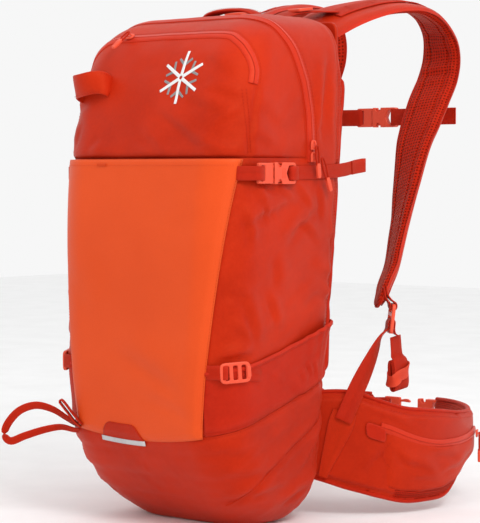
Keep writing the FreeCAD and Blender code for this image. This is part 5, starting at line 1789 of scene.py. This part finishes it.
POCKET_FOLDS = [
    ((-80, 64), (-24, 44), 8, 1.9), ((-44, 68), (30, 56), 8, 1.5), ((10, 48), (74, 66), 9, 1.7),
    ((-64, 42), (-10, 34), 7, 1.2), ((-84, 76), (-60, 50), 6, 1.2), ((-20, 44), (34, 50), 6, 1.0),
]
BELT_Z = 84


def ring(angle, radius, z):
    """Points round the wearer, on their right."""
    a = np.radians(angle)
    return np.stack([radius * np.cos(a), RING[0] + radius * np.sin(a), z + 0 * a], axis=-1)


def wing_crown(share):
    """Share of the wing's half thickness at a height share from -1 to 1."""
    pad = ease((0.97 - np.abs(share)) / 0.2)
    return 0.24 + 0.62 * pad + 0.16 * (1 - share**2) * pad


def wing_edges(angle):
    """Bottom and top of the wing at an angle."""
    rows = smooth(WING, np.linspace(0, len(WING) - 1, 400))
    return np.interp(angle, rows[:, 0], rows[:, 1]), np.interp(angle, rows[:, 0], rows[:, 2])


def wing_rows():
    """Angles with the wing's bottom and top, evenly spaced round it."""
    rows = evenly([(3 * a, low, high) for a, low, high in WING], 3.2)
    return rows[:, 0] / 3, rows[:, 1], rows[:, 2]


def wing_radius(angle, z):
    """Radius of the wing's outer face."""
    low, high = wing_edges(angle)
    share = np.clip((z - (low + high) / 2) / ((high - low) / 2), -1, 1)
    return RING[1] + WING_HALF * wing_crown(share)


def wing_flat(angle, z):
    """Distance round the wing's outer face, and height."""
    return np.stack([np.radians(angle) * WING_FACE, z], axis=-1)


def outward(points):
    """Level directions from the wearer's middle to points."""
    return unit(points * [1, 1, 0] - np.array([0, RING[0], 0]))


def wing_form(mats):
    """Padded wing on the wearer's right: a closed form, swollen, then sewn."""
    angle, low, high = wing_rows()
    share = np.concatenate([np.linspace(-1, 1, 56), np.linspace(1, -1, 34)[1:-1]])
    side = np.where(np.arange(len(share)) < 56, 1, -1)
    tip = np.sqrt(np.clip(1 - np.clip(1 - (WING_TIP - angle) / 5.0, 0, 1) ** 2, 0.03, 1))
    half = WING_HALF * wing_crown(share)
    half = np.maximum(half - WING_SLIM, WING_EDGE)
    z = (low + high)[:, None] / 2 + share * (high - low)[:, None] / 2 * tip[:, None] ** 0.5
    radius = RING[1] + side * half * tip[:, None] ** 0.8
    points = ring(angle[:, None] + 0 * z, radius, z)
    obj = closed_grid("wing_cover", points, "belt_right", [mats["base"], mats["mesh"], mats["binding"]])
    inflate(obj, voxel=4.0, cap=3.2)

    def polar(p):
        """Angle, radius and height share of points."""
        a = np.degrees(np.arctan2(p[:, 1] - RING[0], p[:, 0]))
        bottom, top = wing_edges(a)
        return a, np.hypot(p[:, 0], p[:, 1] - RING[0]), (p[:, 2] - (bottom + top) / 2) / ((top - bottom) / 2)

    def full_height(a, h):
        """Height share with the edges brought back out to the wing's outline."""
        stops = np.linspace(-57, 69, 43)
        for way in (-1, 1):
            reach = [np.max(way * h[np.abs(a - stop) < 2.5]) for stop in stops]
            h = np.where(way * h > 0, h / np.interp(a, stops, np.clip(reach, 0.75, 1.1)), h)
        return h

    def reshape(p, _normals):
        """Soft folds outside, a sewn line near each edge and one along the inside."""
        a, r, h = polar(p)
        h = full_height(a, h)
        bottom, top = wing_edges(a)
        outer = r > RING[1]
        soft = folds(wing_flat(a, p[:, 2]), WING_FOLDS, outer * ease((0.9 - np.abs(h)) / 0.2))
        seam = 0.9 * np.exp(-((np.abs(h) - 0.88) / 0.03) ** 2) + 1.6 * np.exp(-(h / 0.05) ** 2) * ~outer
        limit = RING[1] + 7.4 * wing_crown(h)
        r = np.where(outer, np.minimum(r, limit) + soft - seam, np.maximum(r, 2 * RING[1] - limit) + seam)
        return ring(a, r, (bottom + top) / 2 + h * (top - bottom) / 2 + 0.8 * np.sign(h))

    def zone(centres, _facing):
        """Mesh inside and in a strip along the bottom, binding at the edges, cloth outside."""
        a, r, h = polar(centres)
        inner = r < RING[1]
        strip = (centres[:, 2] - wing_edges(a)[0] < 12.5) & (a > -26) & (a < 14)
        return np.where(np.abs(h) > 0.94, 2, np.where(inner | strip, 1, 0))

    dress(obj, reshape, lambda p: wing_flat(polar(p)[0], p[:, 2]), zone)
    return obj


def bend_wing(pieces):
    """Frees pieces from their body, with their place baked into their points."""
    bpy.context.view_layer.update()
    for piece in pieces:
        place = piece.matrix_world.copy()
        piece.parent = None
        piece.matrix_world = place
        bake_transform(piece)


def make_wings(mats):
    """Wings with their bound and stitched edges."""
    wing = wing_form(mats)
    angle, low, high = wing_rows()
    keep = angle < WING_TIP - 2.5
    outline = [(x * 2.4, y * 2.9) for x, y in round_outline(1.0, 12)]
    pieces = [wing]
    for name, z, sign in (("top", high, 1), ("bottom", low, -1)):
        line = ring(angle[keep], RING[1], z[keep])
        out = outward(line)
        pieces.append(sweep("belt_rim_" + name, line - np.array([0, 0, sign * 0.4]), out, outline,
                            "belt_right", mats["binding"]))
        sewn = angle[keep] > -29
        row = line[sewn] + out[sewn] * 5.6 - np.array([0, 0, sign * 6.5])
        for flip, body in ((1, "belt_right"), (-1, "belt_left")):
            stitch(body, row * [flip, 1, 1], out[sewn] * [flip, 1, 1], *SEAM_STITCH)
    wing = join("wing_cover", pieces)
    right, left = pair(wing, "belt_right", "belt_left", ("belt_wing_right",),
                       ("belt_wing_left",))
    bend_wing([right])
    bend_wing([left])


def pocket_grid(a, top):
    """Domed face of the belt pocket from its lower edge to its zip, at angles a."""
    low = np.interp(a, [p[0] for p in BELT_POCKET], [p[1] for p in BELT_POCKET])
    v = np.linspace(0, 1, 40)[:, None]
    z = low + (top - 1.5 - low) * v
    round_way = a[None, :] + 0 * z
    dome = np.sin(math.pi * np.clip(v * 0.92 + 0.04, 0, 1)) ** 0.6 * np.sqrt(
        np.clip(1 - ((a + 1.5) / 31.5) ** 2, 0, 1))
    soft = folds(wing_flat(round_way, z).reshape(-1, 2), POCKET_FOLDS, 1.0)
    flush = ease((a + 32.5) / 5.5) * ease((29.5 - a) / 3.0)
    radius = wing_radius(round_way, z) - 1.4 + 1.9 * flush + 3.2 * dome * flush + 0.8 * v**6
    radius = radius + 1.3 * soft.reshape(z.shape) * ease(dome * 2)
    return ring(round_way, radius, z)


def make_belt_pockets(mats):
    """Pockets on the wings, each with its zip and the patch at the zip's rear end."""
    rows = evenly([(3 * a, z) for a, z in BELT_ZIP], 3.0)
    a, top = rows[:, 0] / 3, rows[:, 1]
    grid = pocket_grid(a, top)
    obj = sheet_grid("wing_pocket", grid, "belt_right", mats["nylon"], 1.0)
    pair(obj, "belt_right", "belt_left", ("belt_pocket_right",), ("belt_pocket_left",))
    corner = evenly([(-25, 88), (-30, 78), (-31, 66), (-28, 54), (-23, 44)], 3.0)
    curve = ring(corner[:, 0], wing_radius(corner[:, 0], corner[:, 1]) + 1.4, corner[:, 1])
    for flip, body in ((1, "belt_right"), (-1, "belt_left")):
        for row in (grid[1], curve):
            out = outward(row)
            stitch(body, (row + out * 0.3) * [flip, 1, 1], out * [flip, 1, 1], *HEM_STITCH)

    line = ring(a, wing_radius(a, top) + 1.2, top + 1.5)
    outline = mirrored([(0.3, 0.9), (0.5, 1.6), (2.2, 1.3), (4.5, 0.6), (5.0, 0.2), (5.0, -1.5)])
    obj = sweep("belt_zip", line, outward(line), outline, "belt_right", mats["zip"])
    pair(obj, "belt_right", "belt_left")
    u = np.linspace(-37.5, -30, 16)[None, :]
    v = np.linspace(0, 1, 12)[:, None]
    z = 95 - 1.1 * (u + 33.7) + (v - 0.5) * 17 * np.sqrt(np.clip(1 - ((u + 33.75) / 3.9) ** 6, 0.1, 1))
    patch = ring(u + 0 * z, wing_radius(u + 0 * z, z) + 2.6, z)
    obj = sheet_grid("zip_garage", patch, "belt_right", mats["binding"], 1.1)
    pair(obj, "belt_right", "belt_left")


def make_belt_sliders(mats):
    """Sliders of the belt pockets' zips, with their pulls hanging down."""
    out = np.array([math.cos(math.radians(24)), math.sin(math.radians(24)), 0])
    spot = ring(24.0, 182.6, 78.4)
    for side, word, body in ((1, "right", "belt_slider_r"), (-1, "left", "belt_slider_l")):
        flip = np.array([side, 1, 1])
        place = placing(tuple(spot * flip), (0, 0, 1), tuple(out * flip))
        make_slider("belt_zip_slider_" + word, place, body, mats, "belt_slider_" + word)
        place = placing(tuple((spot + out * 4.6) * flip), (-side * out[1], out[0], 0), tuple(out * flip))
        place = place if place.col[1][2] > 0 else place @ Matrix.Rotation(math.pi, 4, "Z")
        make_pull("belt_zip_pull_" + word, place, 34.0, body, mats, None)


def make_belt_webbing(mats):
    """Belt webbing from the wings to the two halves of the buckle."""
    up = (0, 0, 1)
    shared = [(98, 381), (80, 392.4), (64, 401), (52, 406.6)]
    right = shared + [(47, 408.4), (43, 409.4)]
    loop = level(BELT_Z, [
        (54, 410.6), (47, 411), (41, 411.6), (37.4, 413.6), (36.4, 416.8), (38.6, 420.8), (42.6, 421.7),
        (46.4, 419.4), (51, 414.8), (56, 412.2), (60, 411.8)])
    web("belt_loop", loop, up, 25, "belt_buckle", mats["webbing"], 1.3)
    left = shared + [(46, 411.6), (40.6, 413.4), (37.2, 415), (37, 417.4), (39, 419.9), (43, 420),
                     (48, 417.4), (56, 410.5), (66, 404), (76, 397.5)]
    for side, word, path, body in ((1, "right", right, "belt_right"), (-1, "left", left, "belt_left")):
        points = level(BELT_Z, [(side * x, y) for x, y in path])
        obj = web("belt_strap_" + word, points, up, 25, body, mats["webbing"])
        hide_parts("belt_webbing_" + word)
        box_stitch(body, (side * 84, 391.4, BELT_Z), (-side * 0.84, 0.54, 0), up, (side * 0.54, 0.84, 0),
                   16, 18)
    obj = buckle_female("belt_female", 30, placing((8, 416.6, BELT_Z), (1, 0, 0), (0, 1, 0)), "belt_buckle",
                        mats)
    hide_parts("belt_buckle_female")
    obj = buckle_male("belt_male", 30, placing((-20, 416.6, BELT_Z), (1, 0, 0), (0, 1, 0)), "belt_left",
                      mats)
    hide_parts("belt_buckle_male")


# ---- Studio ----

CAMERA_AZIMUTH, CAMERA_PITCH = 40.0, 2.5
CAMERA_AIM = Vector((0.02, 0.05, 0.285))
CAMERA_DISTANCE = 2.3
CAMERA_LENS = 141.1


def toward(azimuth, elevation):
    """Unit vector from the object towards a place seen at this azimuth and elevation."""
    a, e = math.radians(azimuth), math.radians(elevation)
    return Vector((math.sin(a) * math.cos(e), -math.cos(a) * math.cos(e), math.sin(e)))


def area_light(name, azimuth, elevation, distance, size, power):
    """Soft box aimed at the middle of the bag."""
    data = bpy.data.lights.new(name, "AREA")
    data.shape = "SQUARE"
    data.size = size
    data.energy = power
    light = bpy.data.objects.new(name, data)
    back = toward(azimuth, elevation)
    light.location = CAMERA_AIM + back * distance
    light.rotation_mode = "QUATERNION"
    light.rotation_quaternion = (-back).to_track_quat("-Z", "Y")
    bpy.context.scene.collection.objects.link(light)


def make_studio(mats):
    """Floor, soft light and camera."""
    scene = bpy.context.scene
    world = bpy.data.worlds.new("studio")
    world.use_nodes = True
    world.node_tree.nodes["Background"].inputs["Color"].default_value = (1, 1, 1, 1)
    world.node_tree.nodes["Background"].inputs["Strength"].default_value = 0.93
    scene.world = world
    scene.view_settings.view_transform = "Standard"
    area_light("key", 66, 38, 2.2, 0.7, 21)
    area_light("fill", 8, 25, 2.6, 1.6, 2)
    area_light("top", 40, 85, 2.0, 1.5, 3)
    floor = bpy.data.meshes.new("floor")
    floor.from_pydata([(-4, -4, 0), (4, -4, 0), (4, 4, 0), (-4, 4, 0)], [], [(0, 1, 2, 3)])
    floor.materials.append(mats["floor"])
    ground = bpy.data.objects.new("floor", floor)
    ground.location.z = -0.0006
    scene.collection.objects.link(ground)
    data = bpy.data.cameras.new("camera")
    data.lens = CAMERA_LENS
    data.sensor_width = 36
    camera = bpy.data.objects.new("camera", data)
    back = toward(CAMERA_AZIMUTH, CAMERA_PITCH)
    camera.location = CAMERA_AIM + back * CAMERA_DISTANCE
    camera.rotation_mode = "QUATERNION"
    camera.rotation_quaternion = (-back).to_track_quat("-Z", "Y")
    scene.collection.objects.link(camera)
    scene.camera = camera


def main():
    """Every piece, in the order in which it is made."""
    mats = make_materials()
    make_studio(mats)
    skin = make_shells(mats)
    make_seams(skin, mats)
    make_main_zip(skin, mats)
    make_lid_zip(skin, mats)
    make_front_panel(mats)
    make_front_tab(mats)
    for side, name in ((1, "right"), (-1, "left")):
        make_side_pocket(skin, mats, side, name)
    for make in (make_upper_straps, make_lower_straps, make_sliders, make_ski_loop, make_tool_tab,
                 make_pole_loop, make_handle):
        make(mats)
    make_mark(skin, mats)
    for make in (make_shoulder_straps, make_shoulder_webbing, make_adjusters, make_gussets, make_rolls,
                 make_lifters, make_sternum, make_pads, make_frame, make_wings, make_belt_pockets,
                 make_belt_sliders, make_belt_webbing, make_stitches):
        make(mats)


main()
